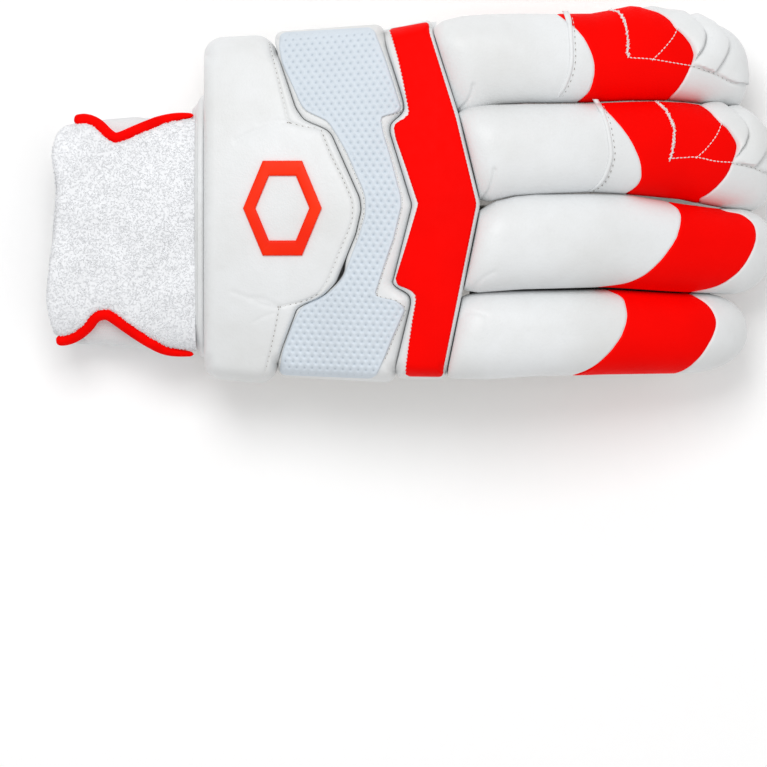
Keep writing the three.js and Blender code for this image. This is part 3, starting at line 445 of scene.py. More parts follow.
def colour_property(name, description, rgb):
    return bpy.props.FloatVectorProperty(
        name=name, description=description, subtype="COLOR", size=3, default=rgb, min=0.0, max=1.0)


class GloveColours(bpy.types.PropertyGroup):
    """Colours that a user would change"""
    white: colour_property("White Leather", "Coated leather of pads and rolls", (0.79, 0.805, 0.815))
    red: colour_property("Red", "Knuckle band, sleeves and piping", (0.95, 0.0015, 0.0005))
    mesh: colour_property("Perforated Facing", "Pale facing of the middle pad", (0.66, 0.725, 0.79))
    terry: colour_property("Terry", "Towelling of the cuff", (0.90, 0.91, 0.93))
    lining: colour_property("Lining", "Knitted lining and cuff", (0.82, 0.83, 0.84))
    palm: colour_property("Palm Leather", "Soft leather of palm and stalls", (0.79, 0.77, 0.73))
    strap: colour_property("Strap", "Woven closing strap", (0.80, 0.81, 0.83))
    badge: colour_property("Badge", "Moulded ring on the wrist pad", (1.0, 0.035, 0.001))
    thread: colour_property("Thread", "Sewing thread", (0.82, 0.82, 0.80))
    # Near-black colour of the strip that paints the shade deep between the ring and little rolls
    gap_shade: colour_property("Gusset", "Dark knit between two fingers", (0.035, 0.033, 0.032))
    needle: colour_property("Needle Holes", "Shadow inside needle holes", (0.26, 0.24, 0.22))
    floor: colour_property("Floor", "Studio floor", (0.97, 0.97, 0.97))


def plan_shift():
    """The plan frame's place in the row frame, from the lowest corner of the wrist pad's node."""
    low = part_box("wrist_pad")[0]
    rear, end = PAD_REAR_X + SEAM_GAP / 2, -0.969 * BACK_HALF
    return np.array([low.x / MM - rear, low.y / MM - end, -0.06])


SHIFT = plan_shift()


def to_row(points):
    """Points of the plan frame in metres in the row frame."""
    return (np.asarray(points, float) + SHIFT) * MM


def column(rows, at, index=1):
    """A column of a table, read at any place between its rows."""
    ordered = sorted(rows)
    return np.interp(at, [row[0] for row in ordered], [row[index] for row in ordered])


def rounded_x(edge, y, offsets):
    """x of an edge at y, averaged over offsets, which rounds its corners."""
    y = np.asarray(y, float)
    return sum(column(edge, y + offset) for offset in offsets) / len(offsets)


def seam_x(seam, y):
    return rounded_x(seam, y, (-1.4, -0.7, 0.0, 0.7, 1.4))


def smooth_line(points, steps=10):
    """A Catmull-Rom line through the points."""
    p = np.asarray(points, float)
    p = np.vstack([2 * p[0] - p[1], p, 2 * p[-1] - p[-2]])
    t = np.linspace(0, 1, steps, endpoint=False)[:, None]
    parts = []
    for a, b, c, d in zip(p[:-3], p[1:-2], p[2:-1], p[3:]):
        parts.append(0.5 * (2 * b + (c - a) * t + (2 * a - 5 * b + 4 * c - d) * t**2
                            + (3 * b - a - 3 * c + d) * t**3))
    return np.vstack(parts + [p[-2:-1]])


def spaced(line, step):
    """The line's points moved to even distances of about step."""
    line = np.asarray(line, float)
    lengths = np.concatenate([[0], np.cumsum(np.linalg.norm(np.diff(line, axis=0), axis=1))])
    count = max(2, int(round(lengths[-1] / step)) + 1)
    at = np.linspace(0, lengths[-1], count)
    return np.stack([np.interp(at, lengths, line[:, k]) for k in range(line.shape[1])], -1)


def distance_to(points, line):
    """Distance in plan from each point to a line of points."""
    points = np.asarray(points, float)
    flat = points.reshape(-1, 2)
    a, b = np.asarray(line[:-1], float), np.asarray(line[1:], float)
    ab = b - a
    size = np.maximum((ab**2).sum(1), 1e-9)
    best = np.full(len(flat), 1e9)
    for start in range(0, len(flat), 4000):
        part = flat[start:start + 4000, None, :]
        t = np.clip(((part - a) * ab).sum(2) / size, 0, 1)
        gap = part - (a + t[..., None] * ab)
        best[start:start + 4000] = np.sqrt((gap**2).sum(2)).min(1)
    return best.reshape(points.shape[:-1])


def shoulder(distance, width):
    """Share of the full height at a distance from an edge that is rounded over a width."""
    t = np.clip(distance / width, 0, 1)
    return (1 - (1 - t) ** 2.6) ** (1 / 2.6)


def back_height(x, y):
    """Height of the hand's back under the pads."""
    along = np.clip((x - HAND_REAR_X) / HAND_LENGTH, 0, 1)
    crest = WRIST_CREST + (KNUCKLE_CREST - WRIST_CREST) * along
    droop = WRIST_DROOP + (KNUCKLE_DROOP - WRIST_DROOP) * along
    return crest - droop * (y / BACK_HALF) ** 2


def ripple(x, y, size, seed):
    """A gentle unevenness from -1 to 1, the same on every run."""
    a = np.sin(x / size + 1.7 * seed) * np.cos(y / (size * 1.3) + 0.9 * seed)
    b = np.sin((x + y) / (size * 1.9) + 2.3 * seed)
    return 0.6 * a + 0.4 * b


def grid_faces(rows, columns, first=0):
    """Quads between rows of points that each close round, numbered from first."""
    row = np.arange(rows - 1)[:, None] * columns
    here = np.arange(columns)[None, :]
    beside = (here + 1) % columns
    quads = [row + here, row + beside, row + columns + beside, row + columns + here]
    return (np.stack(quads, -1).reshape(-1, 4) + first).tolist()


def loft(loops):
    """Verts and faces through closed loops of equal length, with a face over each end."""
    loops = np.asarray(loops, float)
    rows, columns = loops.shape[:2]
    faces = grid_faces(rows, columns)
    faces.append(list(range(columns))[::-1])
    faces.append(list(range((rows - 1) * columns, rows * columns)))
    return loops.reshape(-1, 3), faces


def tube(rings, start, end):
    """Verts and faces of rings closed by a point at each end."""
    rings = np.asarray(rings, float)
    rows, columns = rings.shape[:2]
    verts = np.vstack([rings.reshape(-1, 3), [start], [end]])
    faces = grid_faces(rows, columns)
    first, last = rows * columns, rows * columns + 1
    for j in range(columns):
        k = (j + 1) % columns
        faces.append([first, k, j])
        faces.append([last, (rows - 1) * columns + j, (rows - 1) * columns + k])
    return verts, faces


def sock(outer, outer_toe, inner, inner_toe):
    """Verts and faces of a stall: outer and inner rings from the open end to the toe."""
    outer, inner = np.asarray(outer, float), np.asarray(inner, float)
    rows, columns = outer.shape[:2]
    first = rows * columns
    verts = np.vstack([outer.reshape(-1, 3), inner.reshape(-1, 3), [outer_toe], [inner_toe]])
    faces = grid_faces(rows, columns)
    faces += [face[::-1] for face in grid_faces(inner.shape[0], columns, first)]
    end = len(verts) - 1
    for j in range(columns):
        k = (j + 1) % columns
        faces.append([first + j, first + k, k, j])
        faces.append([end - 1, first - columns + j, first - columns + k])
        faces.append([end, end - 1 - columns + k, end - 1 - columns + j])
    return verts, faces


def add_mesh(name, verts, faces, sharp=55.0, fields=None):
    """A mesh object in the row frame from points in the plan frame, faces turned outwards."""
    mesh = bpy.data.meshes.new(name)
    mesh.from_pydata(to_row(verts).tolist(), [], faces)
    for label, values in (fields or {}).items():
        layer = mesh.attributes.new(label, "FLOAT", "POINT")
        layer.data.foreach_set("value", np.asarray(values, np.float32).ravel())
    work = bmesh.new()
    work.from_mesh(mesh)
    bmesh.ops.recalc_face_normals(work, faces=work.faces)
    work.to_mesh(mesh)
    work.free()
    mesh.shade_smooth()
    mesh.set_sharp_from_angle(angle=math.radians(sharp))
    piece = bpy.data.objects.new(name, mesh)
    bpy.context.scene.collection.objects.link(piece)
    return piece


def make_piece(name, shape, material, nodes=(), sharp=55.0, fields=None):
    """A finished piece from its verts and faces in the plan frame."""
    piece = add_mesh(name, *shape, sharp=sharp, fields=fields)
    return finish_piece(piece, finish(material), nodes)


def finish_piece(piece, material, nodes=()):
    """Gives a piece its material, slot, body and the nodes that it stands for."""
    piece.data.materials.clear()
    piece.data.materials.append(material)
    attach(piece, "root")
    if nodes:
        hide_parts(*nodes)
    return piece


class Wire:
    """A socket of a material's node tree that can be reckoned with."""

    def __init__(self, finish, socket):
        self.finish = finish
        self.socket = socket

    def _math(self, kind, *others, swapped=False):
        node = self.finish.tree.nodes.new("ShaderNodeMath")
        node.operation = kind
        values = [self, *others]
        if swapped:
            values.reverse()
        for socket, value in zip(node.inputs, values):
            self.finish.feed(socket, value)
        return Wire(self.finish, node.outputs[0])

    def __add__(self, other):
        return self._math("ADD", other)

    def __radd__(self, other):
        return self._math("ADD", other, swapped=True)

    def __sub__(self, other):
        return self._math("SUBTRACT", other)

    def __rsub__(self, other):
        return self._math("SUBTRACT", other, swapped=True)

    def __mul__(self, other):
        return self._math("MULTIPLY", other)

    def __rmul__(self, other):
        return self._math("MULTIPLY", other, swapped=True)

    def __truediv__(self, other):
        return self._math("DIVIDE", other)

    def least(self, other):
        return self._math("MINIMUM", other)

    def most(self, other):
        return self._math("MAXIMUM", other)

    def sine(self):
        return self._math("SINE")

    def clipped(self):
        return self.most(0.0).least(1.0)

    def ramp(self, low, high):
        return ((self - low) / (high - low)).clipped()


class Finish:
    """A material whose nodes are made by short expressions."""

    def __init__(self, name):
        self.material = bpy.data.materials.new(name)
        self.material.use_nodes = True
        self.tree = self.material.node_tree
        self.shader = self.tree.nodes["Principled BSDF"]

    def feed(self, socket, value):
        if isinstance(value, Wire):
            self.tree.links.new(value.socket, socket)
        elif value is not None:
            socket.default_value = value

    def node(self, kind, output=0, settings=None, **inputs):
        made = self.tree.nodes.new(kind)
        for label, value in (settings or {}).items():
            setattr(made, label, value)
        for label, value in inputs.items():
            self.feed(made.inputs[label.replace("_", " ")], value)
        return Wire(self, made.outputs[output])

    def place(self, scale=(1.0, 1.0, 1.0), turn=(0.0, 0.0, 0.0)):
        spot = self.node("ShaderNodeTexCoord", output="Object")
        return self.node("ShaderNodeMapping", Vector=spot, Scale=scale, Rotation=turn)

    def noise(self, scale, detail=3.0, roughness=0.5, vector=None):
        return self.node("ShaderNodeTexNoise", Vector=vector or self.place(), Scale=scale,
                         Detail=detail, Roughness=roughness)

    def cells(self, scale, vector=None, feature="F1", randomness=1.0):
        return self.node("ShaderNodeTexVoronoi", output="Distance", settings={"feature": feature},
                         Vector=vector or self.place(), Scale=scale, Randomness=randomness)

    def field(self, label):
        return self.node("ShaderNodeAttribute", output="Fac", settings={"attribute_name": label})

    def mix(self, share, first, second):
        made = self.tree.nodes.new("ShaderNodeMix")
        made.data_type = "RGBA"
        self.feed(made.inputs[0], share)
        for socket, colour in ((made.inputs[6], first), (made.inputs[7], second)):
            self.feed(socket, colour if isinstance(colour, Wire) else (*colour, 1.0))
        return Wire(self, made.outputs[2])

    def bump(self, height, depth, strength=1.0):
        made = self.node("ShaderNodeBump", Height=height, Distance=depth, Strength=strength)
        self.feed(self.shader.inputs["Normal"], made)

    def set(self, **inputs):
        for label, value in inputs.items():
            self.feed(self.shader.inputs[label.replace("_", " ")], value)
        return self.material


def tint(rgb, factor, shift=(1.0, 1.0, 1.0)):
    return tuple(min(1.0, c * factor * s) for c, s in zip(rgb, shift))


FINISHES = {}


def finish(label):
    """The material of that label, made once."""
    if label not in FINISHES:
        FINISHES[label] = FINISH_MAKERS[label](bpy.context.scene.glove_colours)
    return FINISHES[label]


def coated_leather(name, rgb, grain=1250.0, depth=0.00009, rough=0.44, soil=(0.94, 0.93, 0.91)):
    """Smooth coated leather with fine pores, faint mottling and a little soiling."""
    f = Finish(name)
    pores = f.cells(grain) * 0.6 + f.noise(grain * 0.5, 4.0) * 0.7
    cloud = f.noise(22.0, 4.0, 0.6).ramp(0.35, 0.75)
    speck = f.noise(420.0, 2.0).ramp(0.58, 0.8)
    base = f.mix(cloud, tint(rgb, 1.03), tint(rgb, 0.975, soil))
    base = f.mix(speck * 0.12, base, tint(rgb, 0.86, soil))
    f.bump(pores + f.noise(90.0, 3.0) * 2.2, depth)
    f.set(Base_Color=base, Roughness=rough + (f.noise(160.0) - 0.5) * 0.16)
    return f.set(Specular_IOR_Level=0.42, Coat_Weight=0.06, Coat_Roughness=0.35)


def white_leather(colours):
    return coated_leather("white_leather", colours.white)


def red_leather(colours):
    """Saturated red synthetic with a fine matt grain."""
    f = Finish("red_leather")
    rgb = colours.red
    weave = f.cells(1500.0) * 0.5 + f.noise(700.0, 4.0)
    shade = f.noise(30.0, 4.0).ramp(0.3, 0.8)
    f.bump(weave + f.noise(110.0, 3.0) * 1.6, 0.00005)
    f.set(Base_Color=f.mix(shade, tint(rgb, 1.05), tint(rgb, 0.93)),
          Roughness=0.58 + (f.noise(240.0) - 0.5) * 0.2)
    return f.set(Specular_IOR_Level=0.03)


def perforated_facing(colours):
    """Pale facing with a fine knit, with painted shade darkening the pits of its dimples."""
    f = Finish("perforated_facing")
    rgb = colours.mesh
    knit = f.cells(1900.0, feature="F1") + f.noise(900.0, 3.0)
    cloud = f.noise(40.0, 3.0).ramp(0.3, 0.75)
    base = f.mix(cloud, tint(rgb, 1.03), tint(rgb, 0.97))
    # Painted shade: the colour darkens in the dimples' pits, where the dimple mask is high
    base = f.mix(f.field("dimple").ramp(0.2, 1.0) * 0.7, base, tint(rgb, 0.62, (0.93, 0.97, 1.0)))
    f.bump(knit, 0.00006)
    return f.set(Base_Color=base, Roughness=0.62 + (f.noise(300.0) - 0.5) * 0.15)


def terry_cloth(colours):
    """Cotton towelling between and on its loops."""
    f = Finish("terry_cloth")
    rgb = colours.terry
    pile = f.noise(1400.0, 5.0, 0.65) + f.cells(900.0) * 0.6
    cloud = f.noise(70.0, 4.0, 0.6).ramp(0.3, 0.75)
    f.bump(pile, 0.00012)
    f.set(Base_Color=f.mix(cloud, tint(rgb, 1.03), tint(rgb, 0.93)),
          Roughness=0.9 + (f.noise(500.0) - 0.5) * 0.1)
    return f.set(Sheen_Weight=0.25, Sheen_Roughness=0.5, Specular_IOR_Level=0.2)


def knitted(name, rgb, pitch=0.0011, depth=0.00014, turn=0.0):
    """A plain knit: ribs one way crossed by rows the other way."""
    f = Finish(name)
    spot = f.place(turn=(0.0, 0.0, turn))
    parts = f.tree.nodes.new("ShaderNodeSeparateXYZ")
    f.feed(parts.inputs[0], spot)
    x, y, z = (Wire(f, out) for out in parts.outputs)
    across = ((x + z * 0.6) * (2 * math.pi / pitch)).sine()
    along = ((y + z * 0.4) * (2 * math.pi / (pitch * 1.3)) + across * 0.8).sine()
    cloud = f.noise(45.0, 4.0).ramp(0.3, 0.75)
    base = f.mix(cloud, tint(rgb, 1.02), tint(rgb, 0.95))
    base = f.mix((across * along).ramp(0.2, 1.0) * 0.18, base, tint(rgb, 0.8))
    f.bump(across * along + f.noise(1500.0, 2.0) * 0.6, depth)
    f.set(Base_Color=base, Roughness=0.86 + (f.noise(400.0) - 0.5) * 0.12)
    return f.set(Specular_IOR_Level=0.2, Sheen_Weight=0.12)


def lining_knit(colours):
    return knitted("lining_knit", colours.lining, depth=0.00008)


def strap_weave(colours):
    return knitted("strap_weave", colours.strap, pitch=0.0016, depth=0.0002, turn=0.785)


# Painted shade: a near-black knit for the strip deep between the ring and little rolls
def gusset_knit(colours):
    return knitted("gusset_knit", colours.gap_shade, pitch=0.0009, depth=0.0001)


def palm_leather(colours):
    """Soft tanned leather with an open grain and warm clouds."""
    f = Finish("palm_leather")
    rgb = colours.palm
    grain = f.cells(620.0, feature="SMOOTH_F1") + f.noise(420.0, 5.0, 0.6) * 0.9
    cloud = f.noise(28.0, 5.0, 0.6).ramp(0.3, 0.72)
    pore = f.noise(900.0, 2.0).ramp(0.6, 0.8)
    base = f.mix(cloud, tint(rgb, 1.04), tint(rgb, 0.9, (1.0, 0.98, 0.95)))
    base = f.mix(pore * 0.22, base, tint(rgb, 0.72, (1.0, 0.95, 0.9)))
    f.bump(grain + f.noise(60.0, 3.0) * 2.0, 0.00014)
    f.set(Base_Color=base, Roughness=0.66 + (f.noise(200.0) - 0.5) * 0.2)
    return f.set(Specular_IOR_Level=0.3)


def piping_binding(colours):
    """Red woven binding tape."""
    f = Finish("piping_binding")
    rgb = colours.red
    weave = f.cells(1300.0, randomness=0.4) + f.noise(800.0, 3.0) * 0.6
    f.bump(weave, 0.00012)
    f.set(Base_Color=f.mix(f.noise(120.0).ramp(0.3, 0.7), tint(rgb, 1.05), tint(rgb, 0.9)),
          Roughness=0.7 + (f.noise(300.0) - 0.5) * 0.16)
    return f.set(Specular_IOR_Level=0.03)


def badge_rubber(colours):
    """Moulded rubber, satin, with tiny pits and a warmer tone towards one end."""
    f = Finish("badge_rubber")
    rgb = colours.badge
    pits = f.noise(1600.0, 3.0) + f.cells(2200.0) * 0.4
    shade = f.noise(35.0, 2.0).ramp(0.3, 0.7)
    f.bump(pits, 0.00003)
    f.set(Base_Color=f.mix(shade, tint(rgb, 1.05), tint(rgb, 0.92, (1.0, 0.6, 1.0))),
          Roughness=0.42 + (f.noise(260.0) - 0.5) * 0.14)
    return f.set(Specular_IOR_Level=0.12)


def sewing_thread(colours):
    """Twisted polyester thread."""
    f = Finish("sewing_thread")
    rgb = colours.thread
    f.bump(f.noise(5200.0, 2.0), 0.00005)
    f.set(Base_Color=f.mix(f.noise(700.0).ramp(0.35, 0.7), tint(rgb, 1.05), tint(rgb, 0.86)),
          Roughness=0.55 + (f.noise(900.0) - 0.5) * 0.2)
    return f.set(Sheen_Weight=0.1)


def needle_shadow(colours):
    """Painted shadow for the dark inside of needle holes and perforations."""
    f = Finish("needle_shadow")
    tone = f.noise(900.0).ramp(0.3, 0.7)
    pale = [part + 0.12 for part in colours.needle]
    return f.set(Base_Color=f.mix(tone, colours.needle, pale), Roughness=0.9 - tone * 0.1)


def studio_floor(colours):
    """Matt paper that glows very little, so that shadows on it stay soft."""
    f = Finish("studio_floor")
    rgb = colours.floor
    grain = f.noise(240.0, 3.0).ramp(0.2, 0.8)
    f.set(Base_Color=f.mix(grain, tint(rgb, 1.0), tint(rgb, 0.992)), Roughness=0.9 + grain * 0.05)
    return f.set(Specular_IOR_Level=0.1, Emission_Color=(1.0, 1.0, 1.0, 1.0), Emission_Strength=0.07)


FINISH_MAKERS = {maker.__name__: maker for maker in (
    white_leather, red_leather, perforated_facing, terry_cloth, lining_knit, strap_weave,
    gusset_knit, palm_leather, piping_binding, badge_rubber, sewing_thread, needle_shadow,
    studio_floor,
)}


def corner_inset(distance, radius):
    """How far a rounded corner draws an edge in, at a distance from the end."""
    left = radius - np.clip(distance, 0, radius)
    return radius - np.sqrt(np.maximum(0, radius**2 - left**2))


class Pad:
    """A back pad's outline in plan and the height of its top."""

    def __init__(self, name):
        for label, value in PADS[name].items():
            setattr(self, label, value)
        self.name = name
        ys = self.stations()
        left, right = self.sides(ys)
        rear = self.slanted(np.stack([left, ys], -1), left, right)
        front = self.slanted(np.stack([right, ys], -1), left, right)
        self.rear_line, self.front_line = rear, front
        low_end = np.vstack([rear[:CORNER_STEPS][::-1], front[:CORNER_STEPS]])
        high_end = np.vstack([rear[-CORNER_STEPS:], front[-CORNER_STEPS:][::-1]])
        self.ends = [low_end, high_end]

    def stations(self):
        """The pad's y from end to end, closer together in its corners."""
        corner = self.corner * (1 - np.cos(np.linspace(0, math.pi / 2, CORNER_STEPS)))
        inner = np.arange(self.low + self.corner, self.high - self.corner, PAD_STEP)
        return np.concatenate([self.low + corner[:-1], inner, (self.high - corner)[::-1]])

    def sides(self, ys):
        """x of the pad's rear and front edges."""
        inset = corner_inset(np.minimum(ys - self.low, self.high - ys), self.corner)
        left = seam_x(self.rear, ys) + JOINT + inset
        if self.name == "mid_pad":
            left = left + 1.5 * np.exp(-(((ys + 27.2) / 4.2) ** 2))
        right = seam_x(self.front, ys) - JOINT - inset
        return left, right

    def slanted(self, points, left, right):
        """Moves the pad's ends so that they run down a little towards the wrist."""
        x, y = points[..., 0], points[..., 1]
        share = np.clip((right - x) / np.maximum(right - left, 1e-6), 0, 1)
        little, index = self.slant
        pull = np.where(y > 0, -index * (np.maximum(y, 0) / self.high) ** 8,
                        little * (np.minimum(y, 0) / self.low) ** 8)
        return np.stack([x, y + pull * share], -1)

    def top(self, points):
        """Height of the pad's top at points in plan."""
        x, y = points[..., 0], points[..., 1]
        end = np.minimum(*(distance_to(points, line) for line in self.ends))
        rear, front = distance_to(points, self.rear_line), distance_to(points, self.front_line)
        share = PAD_SKIRT / self.thick
        share = share + (1 - share) * shoulder(end, PAD_SHOULDER)
        for distance, (low, width) in ((rear, self.rear_edge), (front, self.front_edge)):
            share = share * (low + (1 - low) * shoulder(distance, width))
        edge = np.minimum(np.minimum(rear, front), end)
        crown = PAD_CROWN * shoulder(edge, 3 * PAD_SHOULDER)
        wave = PAD_WAVE * ripple(x, y, 11.0, len(self.name)) * np.clip(edge / 8, 0, 1)
        return back_height(x, y) + self.thick * share + crown + wave

    def grid(self, columns):
        """Points of the pad's plan, closer together at its edges."""
        ys = self.stations()
        left, right = self.sides(ys)
        even = np.linspace(0, 1, columns)
        shares = 0.35 * even + 0.65 * (0.5 - 0.5 * np.cos(math.pi * even))
        x = left[:, None] + (right - left)[:, None] * shares
        y = np.repeat(ys[:, None], columns, 1)
        return self.slanted(np.stack([x, y], -1), left[:, None], right[:, None])


def pad_mesh(pad, columns, relief=None):
    """Verts and faces of a pad's cover, closed along the back of the hand."""
    plan = pad.grid(columns)
    height = pad.top(plan)
    if relief is not None:
        height = height + relief(plan)
    top = np.concatenate([plan, height[..., None]], -1)
    share = np.linspace(1, 0, 7)[None, :]
    right, left = plan[:, -1:, :], plan[:, :1, :]
    under = left + (right - left) * share[..., None]
    floor = back_height(under[..., 0], under[..., 1])[..., None]
    return loft(np.concatenate([top, np.concatenate([under, floor], -1)], 1))


def wrist_pad_relief(plan):
    """The stitched channel along the front edge, its gathers, and the creases at its corners."""
    x, y = plan[..., 0], plan[..., 1]
    channel = np.minimum.reduce([distance_to(plan, smooth_line(line)) for line in PAD_SEAM])
    front = distance_to(plan, Pad("wrist_pad").front_line)
    lip = np.clip(1 - front / 4.5, 0, 1)
    groove = -0.5 * np.exp(-((channel / 0.55) ** 2)) - 0.25 * np.exp(-((channel / 1.6) ** 2))
    gathers = 0.13 * np.sin(3.4 * y + 0.8 * x) * lip * np.clip((-44 - y) / 6, 0, 1)
    gathers = gathers + 0.05 * np.sin(4.1 * y + 1.9 * np.sin(0.3 * x)) * lip
    folds = sum(-depth * np.exp(-((distance_to(plan, smooth_line(line)) / width) ** 2))
                for line, depth, width in CREASES)
    return groove + gathers + folds


STITCH_LINES = []


def sew(points, kind="seam"):
    """Notes a line of stitches, as points in the plan frame."""
    STITCH_LINES.append((kind, np.asarray(points, float)))


def seated(plan, surface, lift):
    """Points in plan lifted on to a surface."""
    plan = np.asarray(plan, float)
    return np.concatenate([plan, (surface(plan) + lift)[:, None]], -1)


class GLOVE_OT_back_pads(bpy.types.Operator):
    """Wrist pad, middle pad and knuckle band of the back of the hand"""
    bl_idname = "glove.back_pads"
    bl_label = "Back Pads"

    def execute(self, context):
        pads = [Pad(name) for name in PADS]
        for pad, columns, relief in zip(pads, (130, 84, 72), (wrist_pad_relief, None, None)):
            make_piece(pad.name + "_cover", pad_mesh(pad, columns, relief), "white_leather",
                       [pad.name])

        def wrist_top(plan):
            return pads[0].top(plan) + wrist_pad_relief(plan)

        for line in PAD_SEAM:
            sew(seated(spaced(smooth_line(line), 0.5), wrist_top, 0.08))
        for x, y in (PAD_SEAM[1][0], PAD_SEAM[3][-1]):
            sew(seated([(x - 0.4, y), (x + 0.5, y)], wrist_top, THREAD_SEAT), "hole")
        return {"FINISHED"}


def facing_rear(y):
    return seam_x(FACING_REAR, y)


def facing_front(y):
    return rounded_x(FACING_FRONT, y, (-0.35, 0.0, 0.35))


def ragged(y):
    """The wander of an edge that was cut and sewn by hand."""
    return 0.2 * np.sin(y * 3.9) + 0.1 * np.sin(y * 7.3 + 1.0)


def band_rear(y):
    clean = rounded_x(BAND_FACING_REAR, y, (-0.5, 0.0, 0.5))
    return clean + ragged(y) * np.where(np.abs(y) > 36, 1.0, 0.3)


def band_front(y):
    return seam_x(KNUCKLE_SEAM, y) - JOINT - 1.55 + 0.3 * ragged(y)


def facing_mesh(pad, edges, ends, thick, columns, step, corner=3.0, relief=None):
    """A thin panel that follows a pad's top, closed, with rounded edges."""
    low, high = ends
    ys = np.arange(low, high + step / 2, step)
    inset = corner_inset(np.minimum(ys - low, high - ys), corner)
    left, right = edges[0](ys) + inset, edges[1](ys) - inset
    shares = np.linspace(0, 1, columns)
    x = left[:, None] + (right - left)[:, None] * shares
    y = np.repeat(ys[:, None], columns, 1)
    pad_left, pad_right = pad.sides(np.clip(ys, pad.low, pad.high))
    plan = pad.slanted(np.stack([x, y], -1), pad_left[:, None], pad_right[:, None])
    outline = np.vstack([plan[:, 0], plan[-1], plan[::-1, -1], plan[0, ::-1]])
    edge = distance_to(plan, outline)
    seat = pad.top(plan)
    body = seat + FACING_SEAT + thick * (0.25 + 0.75 * shoulder(edge, 1.1))
    fields = {}
    if relief is not None:
        # relief gives the change of height and a mask of painted shade for the dimples' pits
        shift, pit_shade = relief(plan, edge)
        body = body + shift
        fields = {"dimple": pit_shade}
    top = np.concatenate([plan, body[..., None]], -1)
    few = np.linspace(columns - 1, 0, columns // 5).astype(int)
    under = np.concatenate([plan, (seat + FACING_SEAT - 0.1)[..., None]], -1)[:, few]
    verts, faces = loft(np.concatenate([top, under], 1))
    if fields:
        fields["dimple"] = np.concatenate([fields["dimple"], np.zeros(under.shape[:2])], 1).ravel()
    return verts, faces, fields, plan


def dimples(plan, edge):
    """Rows of small dimples with soft pillows between, staggered, and a mask of painted shade in their
    pits.
    """
    sizes = bpy.context.scene.glove_sizes
    pitch = sizes.dimple_pitch / MM
    deep = sizes.dimple_depth / MM
    x, y = plan[..., 0], plan[..., 1]
    y = y - 0.11 * (x + 30) * np.clip(y / 55, 0, 1) + 0.04 * x
    row = y / (pitch * 0.735)
    best = np.full(x.shape, 1e9)
    for k in (0, 1):
        level = np.floor(row) + k
        offset = np.where(level % 2 == 0, 0.0, 0.5)
        u = x / pitch - offset
        du = (u - np.round(u)) * pitch
        dv = (row - level) * pitch * 0.735
        best = np.minimum(best, np.sqrt(du**2 + dv**2))
    inside = np.clip((edge - 0.6) / 1.2, 0, 1)
    pit = np.exp(-((best / 0.52) ** 2))
    bowl = np.exp(-((best / 1.15) ** 2))
    # The second value is the mask of painted shade in the pits
    return -(deep * (0.4 * pit + 0.6 * bowl)) * inside, pit * inside


class GLOVE_OT_facings(bpy.types.Operator):
    """Perforated facing of the middle pad and red facing of the knuckle band"""
    bl_idname = "glove.facings"
    bl_label = "Facings"

    def execute(self, context):
        thick = context.scene.glove_sizes.facing_thick / MM
        middle, band = Pad("mid_pad"), Pad("knuckle_band")
        verts, faces, fields, plan = facing_mesh(
            middle, (facing_rear, facing_front), (middle.low + 1.1, middle.high - 1.1), thick, 150,
            step=0.36, relief=dimples)
        make_piece("perforated_facing", (verts, faces), "perforated_facing",
                   ["mid_pad_panel"], fields=fields)
        front = plan[22:-22, -1] + np.array([0.5, 0.0])
        sew(seated(spaced(front, 0.5), middle.top, 0.12), "border")
        rear = plan[:, 0] - np.array([0.5, 0.0])
        rear = rear[(rear[:, 1] > -14) & (rear[:, 1] < 46)]
        sew(seated(spaced(rear, 0.5), middle.top, 0.12), "border")
        for line in FACING_HOLES:
            sew(seated(spaced(smooth_line(line), 0.4), middle.top, 0.2), "hole")
        verts, faces, _, _ = facing_mesh(
            band, (band_rear, band_front), (band.low + 0.8, band.high - 0.7), thick * 0.8, 60,
            step=0.21, corner=1.9)
        make_piece("knuckle_facing", (verts, faces), "red_leather",
                   ["knuckle_band_panel"])
        return {"FINISHED"}


class GLOVE_OT_badge(bpy.types.Operator):
    """A plain six-sided ring, moulded on the wrist pad"""
    bl_idname = "glove.badge"
    bl_label = "Badge"

    def execute(self, context):
        pad = Pad("wrist_pad")
        low, high = (np.array(corner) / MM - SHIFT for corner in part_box("wrist_pad_badge"))
        middle, half = (low + high)[:2] / 2, (high - low)[:2] / 2
        corners = [(math.cos(k * math.pi / 3), math.sin(k * math.pi / 3)) for k in range(7)]
        hexagon = spaced(np.array(corners), 0.0625)[:-1]
        half = half / np.abs(hexagon).max(0)
        loops = []
        for point in hexagon:
            plan = np.array([middle + half * point * reach for reach, _ in BADGE_PROFILE])
            rise = np.array([level for _, level in BADGE_PROFILE]) * BADGE_RISE
            loops.append(np.concatenate([plan, (pad.top(plan) + rise)[:, None]], -1))
        loops = np.array(loops)
        faces = grid_faces(len(loops) + 1, len(BADGE_PROFILE))
        count = len(loops) * len(BADGE_PROFILE)
        faces = [[v % count for v in face] for face in faces]
        make_piece("badge_ring", (loops.reshape(-1, 3), faces), "badge_rubber",
                   ["wrist_pad_badge"], sharp=38.0)
        return {"FINISHED"}


